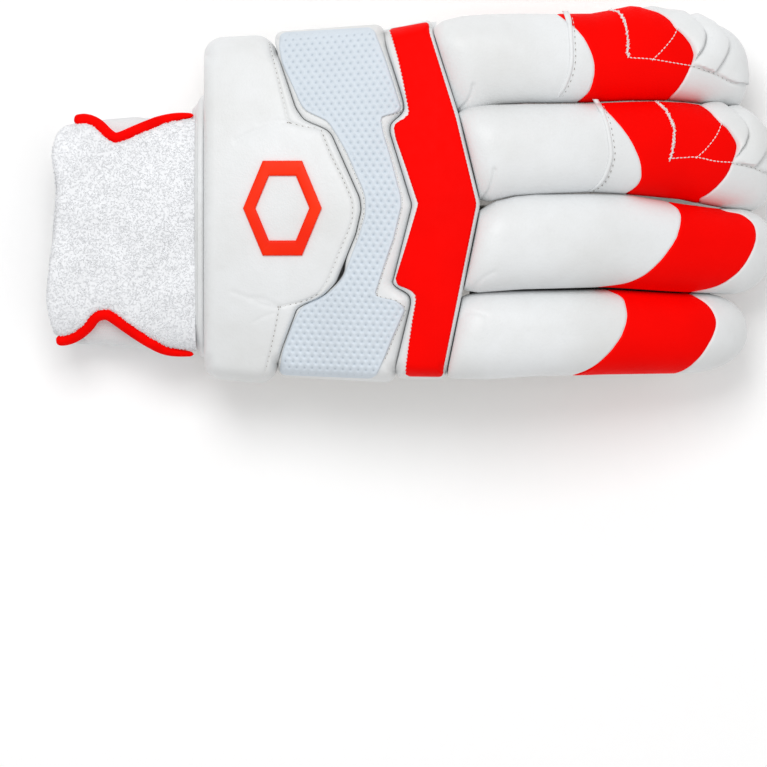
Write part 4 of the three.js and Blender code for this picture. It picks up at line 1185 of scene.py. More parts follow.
class Digit:
    """A finger as rings on an arc that bends down to the floor."""

    def __init__(self, finger, bend):
        self.finger = finger
        base_x = HAND_REAR_X + HAND_LENGTH + GAP
        side = finger["side"] * HAND_WIDTH
        edges = [back_height(base_x, side + s * STALL_WIDTH / 2) for s in (-1, 1)]
        self.origin = np.array([base_x, side, min(edges) + ROLL_LOWER])
        self.half = finger["width"] * ROLL_WIDTH / 2
        self.radius = finger["reach"] * FINGER_LENGTH / math.sin(bend)
        self.side = side
        start = float(column(KNUCKLE_SEAM, side)) + JOINT
        self.start = math.asin((start - base_x) / self.radius)
        self.end = bend
        self.tip = bend - finger["trim"] / self.radius
        self.upper, self.lower = ROLL_UPPER, ROLL_LOWER
        self.heel = (0.6, 0.96)
        self.stall_half, self.stall_high = STALL_WIDTH / 2, STALL_HEIGHT / 2
        self.stall_drop = -(ROLL_LOWER + GAP + STALL_HEIGHT / 2)

    def sway(self, angle):
        """How far the finger leans sideways towards its tip."""
        share = np.maximum(0, angle / self.end - 0.35) ** 1.5
        return self.finger["sway"] * ROLL_WIDTH * share

    def slant(self, y, angle):
        """How far the roll's root follows the slant of the knuckle band's edge."""
        fade = np.maximum(0, 1 - (angle - self.start) / (0.55 * self.end)) ** 2
        seam = seam_x(KNUCKLE_SEAM, self.side + y) - seam_x(KNUCKLE_SEAM, self.side)
        return seam * fade

    def place(self, angle, y, height, slanted=True):
        """Points at an arc angle, a distance to the side and a height over the arc."""
        reach = self.radius + height
        x = reach * np.sin(angle)
        if slanted:
            x = x + self.slant(y, angle)
        z = reach * np.cos(angle) - self.radius
        return np.stack([x, y + self.sway(angle), z], -1) + self.origin

    def roll(self, angle, around, lift=0.0):
        """A point of the roll's surface; around is 0 on the index side and pi / 2 on top."""
        angle, around = np.broadcast_arrays(np.asarray(angle, float), np.asarray(around, float))
        c, s = np.cos(around), np.sin(around)
        along = self.radius * np.sin(angle) / FINGER_LENGTH
        out = np.where(c > 0, column(self.finger["index_side"], along),
                       column(self.finger["little_side"], along))
        index_nose, little_nose = self.finger["nose"]
        nose_long = index_nose + (little_nose - index_nose) * (0.5 - 0.5 * c)
        tip = np.clip((self.tip - angle) * self.radius / nose_long, 0, 1)
        tip = np.sqrt(np.maximum(0, 1 - (1 - tip) ** 2))
        heel = np.clip((angle - self.start) * self.radius / (1.2 * ROLL_HEEL), 0, 1)
        low, narrow = self.heel
        heel_high = low + (1 - low) * (1 - (1 - heel) ** 2.0) ** 0.5
        heel = np.clip(2 * heel, 0, 1)
        heel_wide = narrow + (1 - narrow) * (1 - (1 - heel) ** 2.2) ** (1 / 2.2)
        power = np.where(s > 0, UPPER_POWER, LOWER_POWER)
        wide = (self.half + out) * heel_wide * tip + lift * np.clip(tip * 3, 0, 1)
        high = np.where(s > 0, self.upper, self.lower) * heel_high * tip
        high = high + lift * np.clip(heel_high * tip * 3, 0, 1)
        y = wide * np.sign(c) * np.abs(c) ** (2 / power)
        z = high * np.sign(s) * np.abs(s) ** (2 / power)
        return self.place(angle, y, z)

    def stall_rings(self, inset, columns=40, steps=64):
        """The stall's rings from its mouth to its toe, inset by its wall, and the toe's point."""
        toe = self.end - (4 + inset) / self.radius
        length = STALL_TOE - inset
        even = np.linspace(0, 1, steps)
        angles = toe * (1 - (1 - even) ** 1.8)
        angles[-1] = toe - 0.03 * length / self.radius
        share = np.clip((toe - angles) * self.radius / length, 0, 1)
        share = np.sqrt(1 - (1 - share) ** 2)
        around = (np.arange(columns) + 0.5) / columns * 2 * math.pi
        c, s = np.cos(around), np.sin(around)
        power = np.where(s > 0, UPPER_POWER, LOWER_POWER)
        mouth = 1 - 0.2 * np.exp(-((angles * self.radius / 7.0) ** 2))[:, None]
        y = (self.stall_half - inset) * np.sign(c) * np.abs(c) ** (2 / power) * mouth
        z = (self.stall_high - inset) * np.sign(s) * np.abs(s) ** (2 / power)
        share = share[:, None]
        rings = self.place(angles[:, None], y * share, self.stall_drop + z * share, False)
        return rings, self.place(np.array(toe), np.array(0.0), np.array(self.stall_drop), False)


def bent_to_floor(finger):
    """The finger bent until its stall touches the floor."""
    low, high = 0.1, 0.9
    for _ in range(14):
        bend = (low + high) / 2
        rings, _toe = Digit(finger, bend).stall_rings(0.0, 12, 24)
        if rings[..., 2].min() > GAP / 2:
            low = bend
        else:
            high = bend
    return Digit(finger, low)


DIGITS = {name: bent_to_floor(finger) for name, finger in FINGERS.items()}
# Points round a roll
AROUND = 160


def around_angles(count=AROUND):
    """Even angles round a roll or the cuff, from the index side over the top."""
    return (np.arange(count) + 0.5) / count * 2 * math.pi


def cut_angles(digit, cut, around):
    """For each line along the roll, the arc angle at which it crosses a cut."""
    line = smooth_line(sorted(cut), 6)
    grid = np.linspace(digit.start, digit.tip, 420)
    points = digit.roll(grid[:, None], around[None, :])
    aim = np.interp(points[..., 1], line[:, 0], line[:, 1])
    below = np.maximum(0, -np.sin(around))[None, :]
    past = points[..., 0] >= aim - CUT_RAKE * below
    first = np.argmax(past, axis=0)
    first = np.where(past.any(axis=0), first, len(grid) - 8)
    return grid[np.clip(first, 4, len(grid) - 8)]


def evened(angles):
    """Evens a closed run of angles over its neighbours."""
    for _ in range(2):
        angles = (np.roll(angles, 1) + 2 * angles + np.roll(angles, -1)) / 4
    return angles


def roll_segment(digit, first, last, rows, lift, closed_start, closed_end):
    """A closed length of the roll between two cuts, tucked in at each cut."""
    around = around_angles()
    even = np.linspace(0, 1, rows)
    share = 0.5 * even + 0.5 * (0.5 - 0.5 * np.cos(math.pi * even))
    angles = first[None, :] + (last - first)[None, :] * share[:, None]
    near = (angles - first) * digit.radius, (last - angles) * digit.radius
    dip = np.zeros_like(angles)
    if not closed_start:
        dip = dip - SEAM_DIP * np.exp(-((near[0] / SEAM_DIP_WIDTH) ** 2))
    if not closed_end:
        dip = dip - SEAM_DIP * np.exp(-((near[1] / SEAM_DIP_WIDTH) ** 2))
    raise_by = lift(angles, around[None, :]) + dip
    rings = [digit.roll(angles, around[None, :], raise_by)]
    back = 0.5 / digit.radius
    if not closed_start:
        rings.insert(0, digit.roll(angles[:1] + back, around[None, :], raise_by[:1] - SEAM_TUCK))
    if not closed_end:
        rings.append(digit.roll(angles[-1:] - back, around[None, :], raise_by[-1:] - SEAM_TUCK))
    rings = np.concatenate(rings, 0)
    return tube(rings, rings[0].mean(0), rings[-1].mean(0))


def fold_lift(digit, folds):
    """A lift that presses the folds of a roll's root into its surface."""

    def lift(angles, around):
        points = digit.roll(angles, around)
        plan = points[..., :2]
        total = 0.25 * ripple(points[..., 0], points[..., 1], 9.0, digit.side / 10)
        upper = np.clip(np.sin(around) * 3 + 0.4, 0, 1)
        for line, depth, width in folds:
            away = distance_to(plan, smooth_line(line)) / width
            total = total - depth * np.exp(-(away**2)) * upper
        return total

    return lift


def shield_lift(digit, name):
    """The steps of the overlapping tip shields, down to their seam on the little side."""
    high = bpy.context.scene.glove_sizes.shield_lift / MM
    edges = (CUTS[name]["end"], *LOBES[name])

    def lift(angles, around):
        points = digit.roll(angles, around)
        x, y = points[..., 0], points[..., 1]
        seam_line = smooth_line(SHIELD_SEAM[name])
        seam_y = np.interp(x, seam_line[:, 0], seam_line[:, 1])
        over = np.clip((y - seam_y) / 1.6, 0, 1)
        over = over * over * (3 - 2 * over)
        total = np.zeros_like(x)
        starts = [np.interp(y, *smooth_line(sorted(edge), 6).T) for edge in edges]
        starts.append(starts[-1] + LAST_SHIELD)
        for begin, end in zip(starts[:-1], starts[1:]):
            share = (x - begin) / np.maximum(end - begin, 2.0)
            inside = (share >= 0) & (share < 1)
            swell = np.sin(np.clip(share, 0, 1) * math.pi * 0.6) ** 0.7
            edge_fall = 1 - np.exp(-(((1 - share) * (end - begin)) / 0.75) ** 2)
            total = np.where(inside, high * (swell * edge_fall) - 0.5, total)
        side_on = np.clip(np.sin(around) * 2.0 + 0.9, 0, 1)
        groove = 0.55 * np.exp(-(((y - seam_y) / 0.7) ** 2)) * np.clip(np.sin(around) * 4, 0, 1)
        return total * over * side_on - groove

    return lift


def roll_height(digit):
    """Heights of the roll's upper surface at points in plan."""
    angle = np.linspace(digit.start + 0.3 / digit.radius, digit.tip - 0.3 / digit.radius, 300)
    around = np.linspace(0.0, math.pi, 160)
    cloud = digit.roll(angle[:, None], around[None, :]).reshape(-1, 3)

    def height(plan):
        found = []
        for point in np.asarray(plan, float):
            gap = ((cloud[:, :2] - point) ** 2).sum(1)
            near = np.argpartition(gap, 5)[:5]
            weight = 1 / (gap[near] + 0.01)
            found.append((cloud[near, 2] * weight).sum() / weight.sum())
        return np.array(found)

    return height


class GLOVE_OT_finger_rolls(bpy.types.Operator):
    """Padded rolls on the fingers, with their red sleeves and tips"""
    bl_idname = "glove.finger_rolls"
    bl_label = "Finger Rolls"

    def execute(self, context):
        around = around_angles()
        for name, digit in DIGITS.items():
            first = evened(cut_angles(digit, CUTS[name]["start"], around))
            last = evened(cut_angles(digit, CUTS[name]["end"], around))
            heel = np.full(AROUND, digit.start + 0.05 / digit.radius)
            nose = np.full(AROUND, digit.tip - 0.05 / digit.radius)
            folds = fold_lift(digit, ROOT_FOLDS[name])
            plain = fold_lift(digit, [])
            base = roll_segment(digit, heel, first, 120, folds, True, False)
            make_piece(name + "_base_cover", base, "white_leather",
                       [name + "_roll_base"])
            sleeve = roll_segment(digit, first, last, 60, plain, False, False)
            make_piece(name + "_sleeve_cover", sleeve, "red_leather",
                       [name + "_roll_sleeve"])
            if name in LOBES:
                tip = roll_segment(digit, last, nose, 180, shield_lift(digit, name), False, True)
                nodes = [name + "_tip_shield_" + str(k) for k in (1, 2, 3)]
                label = name + "_tip_shields"
            else:
                tip = roll_segment(digit, last, nose, 60, plain, False, True)
                nodes = [name + "_roll_tip"]
                label = name + "_tip_cover"
            make_piece(label, tip, "white_leather", nodes)
        return {"FINISHED"}


class GLOVE_OT_welts(bpy.types.Operator):
    """Raised welts on the index and middle rolls, and the seams sewn over their sleeves"""
    bl_idname = "glove.welts"
    bl_label = "Welts"

    def execute(self, context):
        for name, cut in WELTS.items():
            digit = DIGITS[name]
            height = roll_height(digit)
            line = spaced(smooth_line([(x, y) for y, x in cut])[:-3], WELT_STEP)
            passed = np.arange(len(line)) * WELT_STEP
            tab = np.clip(1 - (passed - WELT_TAB) / 2.4, 0, 1)
            size = np.clip((len(line) - np.arange(len(line))) / 12.0, 0.3, 1)
            middle = seated(line, height, 0.1)
            middle[:, 2] += 1.5 * tab
            rings = []
            for point, scale, proud in zip(middle, size, tab):
                turn = np.linspace(0, 2 * math.pi, 16, endpoint=False)
                wide = (0.95 + 0.3 * proud) * scale * np.cos(turn)
                tall = (0.85 + 0.9 * proud) * scale * np.sin(turn)
                rings.append(point + np.stack([wide, 0 * wide, tall], -1))
            make_piece(name + "_welt_fold", tube(rings, middle[0], middle[-1]), "white_leather",
                       [name + "_welt"])
            beside = line[6:-2] + np.array([1.75, 0.0])
            sew(seated(beside, height, THREAD_SEAT), "welt")
            shown = [point for point in SHIELD_SEAM[name] if point[0] > SHIELD_SEAM_SHOWN[name]]
            sew(seated(spaced(smooth_line(shown), 0.4)[3:-12], height, THREAD_SEAT), "seam")
            rough, straight, slope = SLEEVE_SEAMS[name]
            seams = ((rough, 0.45, "rough"), (straight, 0.25, "line"), (slope, 0.2, "line"))
            for line, lift, kind in seams:
                sew(seated(spaced(smooth_line(line), 0.4), height, lift), kind)
        return {"FINISHED"}


class GLOVE_OT_finger_stalls(bpy.types.Operator):
    """Leather stalls that the fingers go into, under the rolls"""
    bl_idname = "glove.finger_stalls"
    bl_label = "Finger Stalls"

    def execute(self, context):
        for name, digit in DIGITS.items():
            outer, outer_toe = digit.stall_rings(0.0)
            inner, inner_toe = digit.stall_rings(WALL)
            make_piece(name + "_stall_leather", sock(outer, outer_toe, inner, inner_toe),
                       "palm_leather", [name + "_stall"])
        # A near-black strip paints the shade deep between the ring and little rolls
        self.gap_shade()
        return {"FINISHED"}

    def gap_shade(self):
        """A near-black knit strip that joins the ring and little stalls deep between their rolls,
        painting the shade of the gap there.
        """
        ring = DIGITS["ring"]
        angles = np.linspace(ring.start + 3 / ring.radius, ring.end - 26 / ring.radius, 60)
        middle = -(ring.half + 1.0)
        half, top, thick = 1.7, -4.6, 1.2
        loops = []
        for angle in angles:
            sunk = top - 0.6 + 0.5 * math.sin(9 * angle)
            upper = [(half, top), (0.0, sunk), (-half, top)]
            lower = [(y, z - thick) for y, z in upper[::-1]]
            loops.append([ring.place(np.array(angle), np.array(middle + y), np.array(z))
                          for y, z in upper + lower])
        make_piece("finger_gusset", loft(loops), "gusset_knit")


def hand_section(along, inset, upper, count=60):
    """The upper or lower half of the hand's section, from its little side round to its index side
    above and back below."""
    x = HAND_REAR_X + HAND_LENGTH * along
    middle = HAND_WIDTH * column(HAND, along, 1)
    half = HAND_WIDTH * column(HAND, along, 2) / 2 - inset - 3.5 * math.exp(-((along / 0.022) ** 2))
    rise = PALM_RISE * column(HAND, along, 3) + inset
    side_height = (back_height(x, middle + half) + rise) / 2
    turn = np.linspace(-math.pi / 2, math.pi / 2, count)
    share = np.sin(turn)
    y = middle + share * half
    if upper:
        top = np.maximum(back_height(x, y) - GAP - inset, side_height)
        z = side_height + (top - side_height) * (1 - np.abs(share) ** 7) ** (1 / 3)
    else:
        y, share = y[::-1], share[::-1]
        z = side_height + (rise - side_height) * (1 - np.abs(share) ** 5) ** (1 / 2.5)
    return np.stack([np.full(count, x), y, z], -1)


def hand_half(upper, seam_lift, relief=None):
    """A wall along one half of the hand, parted from the other half at their seam."""
    loops = []
    for along in np.linspace(0, 1, 80):
        outer = hand_section(along, 0.0, upper)
        inner = hand_section(along, WALL, upper)[::-1]
        if relief is not None:
            outer = relief(outer)
        loop = np.concatenate([outer, inner])
        reach = np.minimum(np.abs(loop[:, 1] - outer[0, 1]), np.abs(loop[:, 1] - outer[-1, 1]))
        loop[:, 2] += np.where(reach < WALL + 0.1, seam_lift, 0.0)
        loops.append(loop)
    return loft(loops)


def hand_filled(grow):
    """The hand as one filled solid, a little larger, for cutting."""
    loops = []
    for along in np.linspace(0, 1, 40):
        upper = hand_section(along, -grow, True)
        lower = hand_section(along, -grow, False)
        loops.append(np.concatenate([upper, lower[1:-1]]))
    return loft(loops)


def palm_relief(points):
    """Creases of the palm where the fingers and thumb bend it."""
    x, y, z = points.T
    finger_fold, thumb_fold = (x + 8 + 0.1 * y) / 2.2, (x + 34 - 0.25 * y) / 2.5
    folds = 0.7 * np.exp(-(finger_fold**2)) + 0.5 * np.exp(-(thumb_fold**2))
    wave = 0.35 * ripple(x, y, 8.0, 5.0)
    low = z < z.max() - 4
    moved = points.copy()
    moved[:, 2] = z + np.where(low, folds + wave, 0.0)
    return moved


def carve(piece, other):
    """Takes another solid out of the piece."""
    modifier = piece.modifiers.new("cut", "BOOLEAN")
    modifier.operation = "DIFFERENCE"
    modifier.solver = "EXACT"
    modifier.object = other
    view = bpy.context.evaluated_depsgraph_get()
    mesh = bpy.data.meshes.new_from_object(piece.evaluated_get(view))
    piece.modifiers.clear()
    old = piece.data
    piece.data = mesh
    bpy.data.meshes.remove(old)
    mesh.name = piece.name
    mesh.set_sharp_from_angle(angle=math.radians(50.0))


class Thumb(Digit):
    """The thumb on an arc of its own, which thumb_place sets beside the palm."""

    def __init__(self):
        straight = [(0.0, 0.0)]
        self.finger = {"sway": 0.0, "nose": (24.0, 24.0),
                       "index_side": straight, "little_side": straight}
        self.origin = np.zeros(3)
        self.side = 0.0
        self.half = (THUMB_HEIGHT - 3) / 2
        self.radius = THUMB_LENGTH / math.sin(THUMB_CURL)
        self.start, self.end = 0.32 * THUMB_CURL, THUMB_CURL
        self.tip = self.end
        self.upper, self.lower = THUMB_ROLL_UPPER, THUMB_ROLL_LOWER
        self.heel = (0.15, 0.3)
        self.stall_half, self.stall_high = THUMB_HEIGHT / 2, THUMB_WIDTH / 2
        self.stall_drop = -(THUMB_ROLL_LOWER + GAP + THUMB_WIDTH / 2)

    def slant(self, y, angle):
        return 0.0 * y


def thumb_place(points):
    """Lays the thumb's points on their side and puts them beside the palm."""
    points = np.asarray(points, float)
    x, y, z = points[..., 0], points[..., 1], points[..., 2]
    y, z = z, -y
    c, s = math.cos(THUMB_PITCH), math.sin(THUMB_PITCH)
    x, z = c * x + s * z, -s * x + c * z
    rise = GAP + THUMB_HEIGHT / 2 + THUMB_LENGTH * math.sin(THUMB_PITCH)
    place = np.array([THUMB_REAR_X, THUMB_SIDE + THUMB_ROLL_LOWER + GAP + THUMB_WIDTH / 2, rise])
    return np.stack([x, y, z], -1) + place


def drop(piece):
    """Removes a solid that was only there to cut with."""
    mesh = piece.data
    bpy.data.objects.remove(piece)
    bpy.data.meshes.remove(mesh)


class GLOVE_OT_hand(bpy.types.Operator):
    """Back lining, leather palm, and the thumb under the palm"""
    bl_idname = "glove.hand"
    bl_label = "Hand and Thumb"

    def execute(self, context):
        thumb = Thumb()
        outer, outer_toe = thumb.stall_rings(0.0, 36, 50)
        inner, inner_toe = thumb.stall_rings(WALL, 36, 50)
        outer, inner = thumb_place(outer), thumb_place(inner)
        outer_toe, inner_toe = thumb_place(outer_toe), thumb_place(inner_toe)
        pocket = add_mesh("thumb_pocket", *tube(inner, inner[0].mean(0), inner_toe))
        filled = add_mesh("hand_filled", *hand_filled(GAP))
        make_piece("back_lining", hand_half(True, GAP / 2), "lining_knit", ["hand_back"])
        palm = add_mesh("palm_leather_panel", *hand_half(False, -GAP / 2, palm_relief))
        carve(palm, pocket)
        finish_piece(palm, finish("palm_leather"), ["palm_panel"])
        stall = add_mesh("thumb_stall_leather", *sock(outer, outer_toe, inner, inner_toe))
        carve(stall, filled)
        finish_piece(stall, finish("palm_leather"), ["thumb_stall"])
        around = around_angles(64)
        split = (0.78 * THUMB_LENGTH) / thumb.radius
        margin, gap = 0.05 / thumb.radius, 0.2 / thumb.radius
        for name, low, high, material, slot, node in (
            ("thumb_roll_cover", thumb.start + margin, split - gap,
             "white_leather", "white_leather", "thumb_roll"),
            ("thumb_shield_cover", split + gap, thumb.end - margin,
             "red_leather", "red_panel", "thumb_tip_shield"),
        ):
            run = np.linspace(low, high, 60)
            rings = thumb_place(thumb.roll(run[:, None], around[None, :]))
            piece = add_mesh(name, *tube(rings, rings[0].mean(0), rings[-1].mean(0)))
            if node == "thumb_roll":
                carve(piece, filled)
            finish_piece(piece, finish(material), [node])
        drop(pocket)
        drop(filled)
        return {"FINISHED"}


def cuff_point(along, angle, grow):
    """Points of the cuff's wall, grown outwards, from its open end at 0 to the hand at 1."""
    along, angle = np.broadcast_arrays(np.asarray(along, float), np.asarray(angle, float))
    half = CUFF_WIDTH * column(CUFF, along, 1) / 2 + grow
    height = CUFF_HEIGHT * column(CUFF, along, 2)
    middle = STRAP_THICK + GAP + CUFF_UNDER * height
    c, s = np.cos(angle), np.sin(angle)
    power = np.where(s > 0, 2.6, 5.0)
    reach = np.where(s > 0, CUFF_OVER, CUFF_UNDER) * height + grow
    y = CUFF_SIDE + half * np.sign(c) * np.abs(c) ** (2 / power)
    z = middle + reach * np.sign(s) * np.abs(s) ** (2 / power)
    x = HAND_REAR_X - GAP - CUFF_LENGTH * (1 - along)
    return np.stack([x, y, z], -1)


def cuff_height(x, y, grow):
    """Height over the cuff's back, a little wider than the cuff itself, at points in plan."""
    along = np.clip(1 - (HAND_REAR_X - GAP - np.asarray(x, float)) / CUFF_LENGTH, 0, 1.01)
    half = 1.07 * CUFF_WIDTH * column(CUFF, along, 1) / 2 + grow
    height = CUFF_HEIGHT * column(CUFF, along, 2)
    share = np.clip(np.abs(y - CUFF_SIDE) / half, 0, 0.995)
    middle = STRAP_THICK + GAP + CUFF_UNDER * height
    return middle + (CUFF_OVER * height + grow) * (1 - share**2.6) ** (1 / 2.6)


class GLOVE_OT_cuff(bpy.types.Operator):
    """Cuff lining, closing strap and the padded wrist roll"""
    bl_idname = "glove.cuff"
    bl_label = "Cuff"

    def execute(self, context):
        alongs = np.linspace(0, 1, 70)
        around = around_angles(120)
        swell = 0.35 * np.sin(alongs * 9.0)[:, None] * np.sin(around * 3)[None, :]
        side = np.exp(-((np.sin(around) - 0.15) / 0.42) ** 2)
        index = 0.5 + 0.5 * np.tanh(np.cos(around) / 0.3)
        first = 0.13 + (0.17 + 0.1 * index) * side
        alongs = first[None, :] + (1 - first)[None, :] * alongs[:, None]
        narrow = -2.6 * index * np.clip((alongs - 0.62) / 0.2, 0, 1) * np.abs(np.cos(around))
        outer = cuff_point(alongs, around[None, :], swell + narrow)
        inner = cuff_point(alongs, around[None, :], narrow - CUFF_WALL)
        lip = cuff_point(alongs[:1], around[None, :], narrow[:1] - CUFF_WALL / 2)
        rings = np.concatenate([outer[::-1], lip - np.array([0.7, 0, 0]), inner])
        columns = len(around)
        faces = grid_faces(len(rings), columns)
        last = (len(rings) - 1) * columns
        faces += [[last + j, last + (j + 1) % columns, (j + 1) % columns, j] for j in range(columns)]
        piece = make_piece("cuff_lining_knit", (rings.reshape(-1, 3), faces), "lining_knit",
                           ["cuff_lining"], sharp=80.0)
        closed = np.concatenate([outer, outer[:, :1]], 1)
        round_way = np.linalg.norm(np.diff(closed, axis=1), axis=2).sum(1)
        wide, long = round_way.max() * MM, CUFF_LENGTH * (1 - first.min()) * MM
        area = round_way.mean() * MM * CUFF_LENGTH * (1 - first.mean()) * MM
        min(area, 0.999 * wide * long)
        self.wrist_roll()
        self.strap()
        return {"FINISHED"}

    def wrist_roll(self):
        """The padded roll between the cuff and the wrist pad, with a groove and two notches."""
        rear, front = PAD_REAR_X + 0.7 - WRIST_ROLL_WIDTH, PAD_REAR_X - 0.3
        loops = []
        for share in (0.0, 0.03, 0.08, 0.15, 0.23, 0.27, 0.3, 0.33, 0.38, 0.5, 0.65, 0.8, 0.9,
                      0.97, 1.0):
            full = 0.55 + 0.45 * math.sqrt(1 - (1 - min(1.0, share / 0.25)) ** 2)
            full -= 0.08 * math.exp(-(((share - 0.3) / 0.03) ** 2)) + 0.12 * max(0.0, share - 0.8) / 0.2
            along = (rear + (front - rear) * share - HAND_REAR_X) / HAND_LENGTH
            under = hand_section(along, -GAP, True, 90)
            centre = (under[0, 1] + under[-1, 1]) / 2
            reach = np.abs(under[:, 1] - centre) / (under[-1, 1] - centre)
            notch = 0.35 * sum(np.exp(-(((under[:, 1] - y) / 0.5) ** 2)) for y in (0.2, -25.4))
            tuck = float(corner_inset((front - rear) * share, 4.0))
            narrow = 1 - tuck / (under[-1, 1] - centre)
            over = under.copy()
            over[:, 1] = centre + (under[:, 1] - centre) * (1 + 0.02 * full) * narrow
            under[:, 1] = centre + (under[:, 1] - centre) * narrow
            over[:, 2] += (WRIST_ROLL_THICK * full - notch * (share < 0.3)) * (1 - reach**14)
            loop = np.concatenate([over, under[::-1]])
            loop[:, 2] += 2 * GAP
            loops.append(loop)
        make_piece("wrist_roll_cover", loft(loops), "white_leather",
                   ["wrist_roll"])

    def strap(self):
        """The woven strap under the cuff, with a line pressed along each edge."""
        start = 0.9 - STRAP_WIDTH / CUFF_LENGTH
        angles = np.linspace(1.18, 1.82, 90) * math.pi
        loops = []
        for along in np.linspace(start, 0.9, 30):
            edge = min(along - start, 0.9 - along) * CUFF_LENGTH
            thick = STRAP_THICK * (0.55 + 0.45 * min(1.0, edge / 0.8))
            if 1.6 < edge < 2.4:
                thick -= 0.25
            outer = cuff_point(along, angles, GAP + thick)
            inner = cuff_point(along, angles[::-1], GAP)
            loops.append(np.concatenate([outer, inner]))
        piece = make_piece("strap_webbing", loft(loops), "strap_weave", ["wrist_strap"])


class GLOVE_OT_terry(bpy.types.Operator):
    """Towelling on the back of the cuff, and the red piping at its sides"""
    bl_idname = "glove.terry"
    bl_label = "Terry Panel"

    def execute(self, context):
        edges = {side: self.edge(side) for side in PIPING}
        rear = np.array(sorted(TERRY_REAR))
        share = np.linspace(0, 1, 100)
        rim = np.clip(np.minimum(share, 1 - share) / 0.05, 0, 1)
        loops = []
        for along in np.linspace(0, 1, 110):
            x = np.full(share.shape, TERRY_REAR_X + along * (TERRY_FRONT_X - TERRY_REAR_X))
            for _ in range(6):
                high = np.interp(x, *edges["index"].T)
                low = np.interp(x, *edges["little"].T)
                y = high + (low - high) * share
                x = np.interp(y, *rear.T) * (1 - along) + TERRY_FRONT_X * along
            near = min(1.0, along * CUFF_LENGTH / 3.0)
            sides = 0.6 + 0.4 * np.sqrt(1 - (1 - rim) ** 2)
            full = sides * (0.55 + 0.45 * math.sqrt(1 - (1 - near) ** 2))
            under = cuff_height(x, y, TERRY_SEAT)
            over = under + TERRY_THICK * full + 0.4 * ripple(x, y, 5.5, 3.0)
            top, base = (np.stack([x, y, height], -1) for height in (over, under))
            loops.append(np.concatenate([top, base[::-1]]))
        piece = add_mesh("terry_panel", *loft(loops))
        area = sum(face.area for face in piece.data.polygons if face.normal.z > UPWARD)
        density = context.scene.glove_sizes.loop_count / area
        pile = grown("terry_loops", piece.data.copy(), loop_tree(), {
            "Density": density, "Seed": 3, "Material": finish("terry_cloth")})
        finish_piece(pile, finish("terry_cloth"))
        finish_piece(piece, finish("terry_cloth"), ["cuff_terry_back"])
        for side in PIPING:
            self.piping(side)
        return {"FINISHED"}

    def edge(self, side):
        """The terry panel's side edge, along its corner and then inside the piping."""
        sign = 1 if side == "index" else -1
        line = spaced(smooth_line(PIPING[side]), 0.5)
        step = np.gradient(line, axis=0)
        normal = np.stack([step[:, 1], -step[:, 0]], -1) / np.linalg.norm(step, axis=1, keepdims=True)
        line = line + 1.75 * sign * normal
        corner = TERRY_CORNERS[side]
        line = np.vstack([corner, line[line[:, 0] > corner[-1][0] + 0.5]])
        return line[np.argsort(line[:, 0])]

    def piping(self, side):
        """A run of red piping, thinner where it goes under the wrist roll."""
        radius = PIPING_WIDTH / 2 + 0.6
        line = spaced(smooth_line(PIPING[side]), 0.6)
        middles = np.concatenate([line, (cuff_height(*line.T, TERRY_SEAT) + radius)[:, None]], -1)
        heading = np.gradient(middles, axis=0)
        heading /= np.linalg.norm(heading, axis=1, keepdims=True)
        turn = np.linspace(0, 2 * math.pi, 20, endpoint=False)
        rings = []
        for k, (point, ahead) in enumerate(zip(middles, heading)):
            size = radius * np.interp(point[0], [-106.0, -95.5, -90.4], [1.0, 0.66, 0.4])
            near = min(1.0, min(k, len(middles) - 1 - k) / 3.0)
            size *= math.sqrt(max(0.05, 1 - (1 - near) ** 2))
            side_way = np.cross(ahead, [0, 0, 1.0])
            side_way /= np.linalg.norm(side_way)
            up = np.cross(side_way, ahead)
            rings.append(point + size * (np.cos(turn)[:, None] * side_way + np.sin(turn)[:, None] * up))
        make_piece("piping_" + side, tube(rings, middles[0], middles[-1]), "piping_binding",
                   ["cuff_piping_" + side + "_side"])


class GLOVE_OT_stage(bpy.types.Operator):
    """Pale floor, soft lights, white surround and the camera over the glove"""
    bl_idname = "glove.stage"
    bl_label = "Stage"

    def execute(self, context):
        scene = context.scene
        mesh = bpy.data.meshes.new("studio_floor")
        mesh.from_pydata([(-6, -6, 0), (6, -6, 0), (6, 6, 0), (-6, 6, 0)], [], [[0, 1, 2, 3]])
        mesh.materials.append(finish("studio_floor"))
        floor = bpy.data.objects.new("studio_floor", mesh)
        scene.collection.objects.link(floor)
        floor.location = (0, 0, -0.0002)
        world = bpy.data.worlds.new("studio")
        world.use_nodes = True
        surround = world.node_tree.nodes["Background"]
        surround.inputs["Color"].default_value = (1.0, 1.0, 1.0, 1.0)
        surround.inputs["Strength"].default_value = WORLD_STRENGTH
        scene.world = world
        for name, spot, size, power in LAMPS:
            lamp = bpy.data.lights.new(name, "AREA")
            lamp.size = size
            lamp.energy = power
            light = bpy.data.objects.new(name, lamp)
            light.location = spot
            aim = Vector((0.0, 0.0, 0.03)) - light.location
            light.rotation_euler = aim.to_track_quat("-Z", "Y").to_euler()
            scene.collection.objects.link(light)
        camera = bpy.data.cameras.new("overhead")
        height = scene.glove_sizes.camera_height
        camera.sensor_width = 36.0
        camera.lens = camera.sensor_width * (height - PICTURE_LEVEL) / PICTURE_WIDTH
        camera.clip_end = 50.0
        rig = bpy.data.objects.new("overhead", camera)
        rig.location = (*to_row((*PICTURE_MIDDLE, 0.0))[:2], height)
        scene.collection.objects.link(rig)
        scene.camera = rig
        scene.view_settings.view_transform = "Standard"
        return {"FINISHED"}


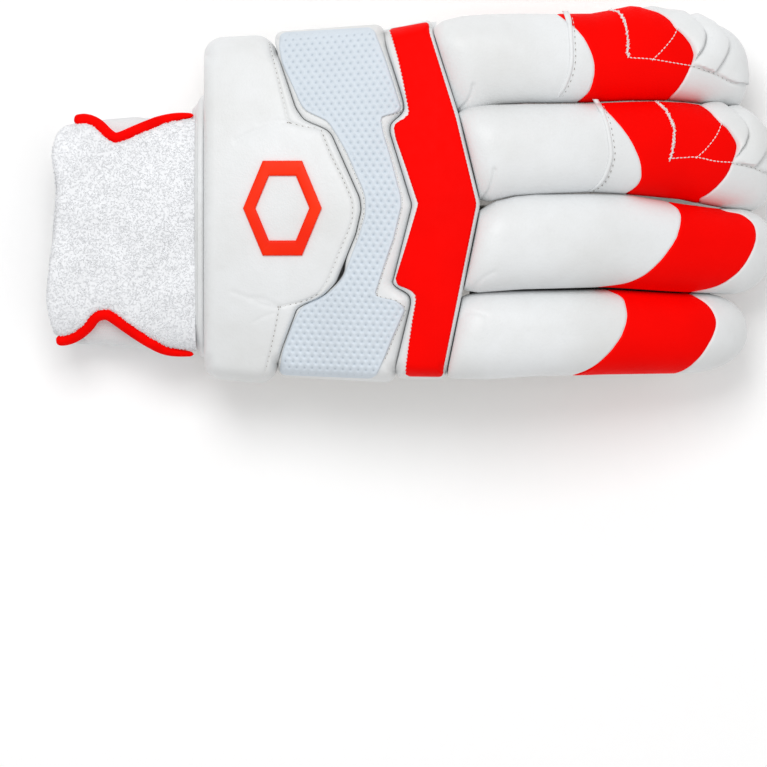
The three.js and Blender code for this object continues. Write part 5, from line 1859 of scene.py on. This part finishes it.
class GeometryTree:
    """A Geometry Nodes tree with named inputs, built by short calls."""

    def __init__(self, name, taken, given_back, sizes):
        self.tree = bpy.data.node_groups.new(name, "GeometryNodeTree")
        self.socket(taken, "Geometry")
        for label, kind, value in sizes:
            self.socket(label, kind).default_value = value
        self.socket("Material", "Material")
        self.socket(given_back, "Geometry", "OUTPUT")
        self.given = self.tree.nodes.new("NodeGroupInput").outputs

    def socket(self, label, kind, way="INPUT"):
        return self.tree.interface.new_socket(label, in_out=way, socket_type="NodeSocket" + kind)

    def add(self, kind, inputs=None, settings=None, output=0):
        """One node, its settings made first, its inputs linked or set; gives back one output."""
        made = self.tree.nodes.new(kind)
        for label, value in (settings or {}).items():
            setattr(made, label, value)
        for label, value in (inputs or {}).items():
            if isinstance(value, bpy.types.NodeSocket):
                self.tree.links.new(value, made.inputs[label])
            else:
                made.inputs[label].default_value = value
        return made.outputs[output]

    def shaken(self, rotation, low, high, seed):
        """A rotation turned at random about its own axes."""
        shake = self.add("FunctionNodeRandomValue", {0: low, 1: high, "Seed": seed},
                         {"data_type": "FLOAT_VECTOR"})
        turn = self.add("FunctionNodeEulerToRotation", {0: shake})
        return self.add("FunctionNodeRotateRotation", {"Rotation": rotation, "Rotate By": turn},
                        {"rotation_space": "LOCAL"})

    def finished(self, instances):
        real = self.add("GeometryNodeRealizeInstances", {0: instances})
        smooth = self.add("GeometryNodeSetShadeSmooth", {"Geometry": real})
        paint = self.add("GeometryNodeSetMaterial",
                         {"Geometry": smooth, "Material": self.given["Material"]})
        self.tree.links.new(paint, self.tree.nodes.new("NodeGroupOutput").inputs[0])
        return self.tree


def stitch_tree():
    """Geometry nodes that lay capsule stitches along a line."""
    tree = GeometryTree("stitch_run", "Line", "Stitches", [
        ("Pitch", "Float", 0.002), ("Length", "Float", 0.0014), ("Radius", "Float", 0.0002),
        ("Wander", "Float", 0.0)])
    given = tree.given
    curve = tree.add("GeometryNodeMeshToCurve", {0: given["Line"]})
    even = tree.add("GeometryNodeResampleCurve", {"Curve": curve, "Length": given["Pitch"]},
                    {"mode": "LENGTH"})
    capsule = tree.add("GeometryNodeMeshUVSphere", {"Segments": 8, "Rings": 5, "Radius": 1.0})
    half = tree.add("ShaderNodeMath", {0: given["Length"], 1: 0.5}, {"operation": "MULTIPLY"})
    size = tree.add("ShaderNodeCombineXYZ", {0: given["Radius"], 1: given["Radius"], 2: half})
    tangent = tree.add("GeometryNodeInputTangent")
    along = tree.add("FunctionNodeAlignRotationToVector", {"Vector": tangent}, {"axis": "Z"})
    low, high = (tree.add("ShaderNodeVectorMath", {0: (way, way, way), "Scale": given["Wander"]},
                          {"operation": "SCALE"}) for way in (-1.0, 1.0))
    stitches = tree.add("GeometryNodeInstanceOnPoints", {
        "Points": even, "Instance": capsule, "Rotation": tree.shaken(along, low, high, 7),
        "Scale": size})
    return tree.finished(stitches)


def loop_tree():
    """Geometry nodes that grow small curled loops out of a surface's upper side."""
    tree = GeometryTree("terry_pile", "Cloth", "Pile", [
        ("Density", "Float", 800000.0), ("Seed", "Int", 3), ("Loop Radius", "Float", 0.00031),
        ("Yarn Radius", "Float", 0.0002)])
    given = tree.given
    normal = tree.add("GeometryNodeInputNormal")
    rise = tree.add("ShaderNodeSeparateXYZ", {0: normal}, output=2)
    upper = tree.add("ShaderNodeMath", {0: rise, 1: UPWARD}, {"operation": "GREATER_THAN"})
    spots = tree.add("GeometryNodeDistributePointsOnFaces", {
        "Mesh": given["Cloth"], "Selection": upper, "Density": given["Density"],
        "Seed": given["Seed"]}, output="Points")
    arc = tree.add("GeometryNodeCurveArc", {
        "Resolution": 5, "Radius": given["Loop Radius"], "Start Angle": -0.6, "Sweep Angle": 4.3})
    section = tree.add("GeometryNodeCurvePrimitiveCircle",
                       {"Resolution": 3, "Radius": given["Yarn Radius"]})
    yarn = tree.add("GeometryNodeCurveToMesh", {"Curve": arc, "Profile Curve": section})
    stand = tree.add("GeometryNodeTransform",
                     {"Geometry": yarn, "Rotation": (math.pi / 2, 0.0, 0.0)})
    turn = tree.shaken(spots.node.outputs["Rotation"], (-0.9, -0.9, -3.14), (0.9, 0.9, 3.14), 11)
    loops = tree.add("GeometryNodeInstanceOnPoints",
                     {"Points": spots, "Instance": stand, "Rotation": turn})
    return tree.finished(loops)


def grown(name, mesh, tree, values):
    """A plain mesh piece from a node tree's result on a mesh."""
    seed = bpy.data.objects.new(name + "_seed", mesh)
    bpy.context.scene.collection.objects.link(seed)
    modifier = seed.modifiers.new("nodes", "NODES")
    modifier.node_group = tree
    for item in tree.interface.items_tree:
        if item.in_out == "INPUT" and item.name in values:
            modifier[item.identifier] = values[item.name]
    view = bpy.context.evaluated_depsgraph_get()
    made = bpy.data.meshes.new_from_object(seed.evaluated_get(view))
    made.name = name
    bpy.data.objects.remove(seed)
    bpy.data.meshes.remove(mesh)
    piece = bpy.data.objects.new(name, made)
    bpy.context.scene.collection.objects.link(piece)
    return piece


def line_mesh(name, lines):
    """A mesh of edges along lines of points in the plan frame."""
    verts, edges = [], []
    for line in lines:
        first = len(verts)
        verts += to_row(line).tolist()
        edges += [(first + k, first + k + 1) for k in range(len(line) - 1)]
    mesh = bpy.data.meshes.new(name)
    mesh.from_pydata(verts, edges, [])
    return mesh


class GLOVE_OT_stitching(bpy.types.Operator):
    """White stitches along the seams, and dark capsules of painted shadow for their needle holes"""
    bl_idname = "glove.stitching"
    bl_label = "Stitching"

    def execute(self, context):
        sizes = context.scene.glove_sizes
        tree = stitch_tree()
        for kind, name, pitch, long, thick, wander in STITCHES:
            # Pieces ending in _holes get the painted shadow of the needle holes, the rest get thread
            hole = name.endswith("_holes")
            material = finish("needle_shadow" if hole else "sewing_thread")
            lines = [line for label, line in STITCH_LINES if label == kind]
            if not lines:
                raise RuntimeError("no seam of the kind " + kind + " was noted")
            if hole and kind != "hole":
                lines = [line[int(sizes.stitch_pitch * pitch / MM):] for line in lines]
            piece = grown(name, line_mesh(name, lines), tree, {
                "Pitch": sizes.stitch_pitch * pitch, "Length": sizes.stitch_length * long,
                "Radius": sizes.stitch_radius * thick, "Wander": wander, "Material": material})
            finish_piece(piece, material)
        return {"FINISHED"}


class GLOVE_PT_panel(bpy.types.Panel):
    """Lists the glove's pieces, sizes and colours"""
    bl_label = "Batting Glove"
    bl_idname = "GLOVE_PT_panel"
    bl_space_type = "VIEW_3D"
    bl_region_type = "UI"
    bl_category = "Glove"

    def draw(self, context):
        for operator in OPERATORS:
            self.layout.operator(operator.bl_idname)
        for group in (context.scene.glove_sizes, context.scene.glove_colours):
            for label in group.bl_rna.properties.keys():
                if label not in ("rna_type", "name"):
                    self.layout.prop(group, label)


OPERATORS = (
    GLOVE_OT_back_pads, GLOVE_OT_facings, GLOVE_OT_badge, GLOVE_OT_finger_rolls, GLOVE_OT_welts,
    GLOVE_OT_finger_stalls, GLOVE_OT_hand, GLOVE_OT_cuff, GLOVE_OT_terry, GLOVE_OT_stitching,
    GLOVE_OT_stage,
)
CLASSES = (GloveSizes, GloveColours, *OPERATORS, GLOVE_PT_panel)


def register():
    for cls in CLASSES:
        bpy.utils.register_class(cls)
    bpy.types.Scene.glove_sizes = bpy.props.PointerProperty(type=GloveSizes)
    bpy.types.Scene.glove_colours = bpy.props.PointerProperty(type=GloveColours)


def unregister():
    del bpy.types.Scene.glove_colours
    del bpy.types.Scene.glove_sizes
    for cls in reversed(CLASSES):
        bpy.utils.unregister_class(cls)


def main():
    register()
    for operator in OPERATORS:
        group, name = operator.bl_idname.split(".")
        getattr(getattr(bpy.ops, group), name)()


if __name__ == "__main__":
    main()
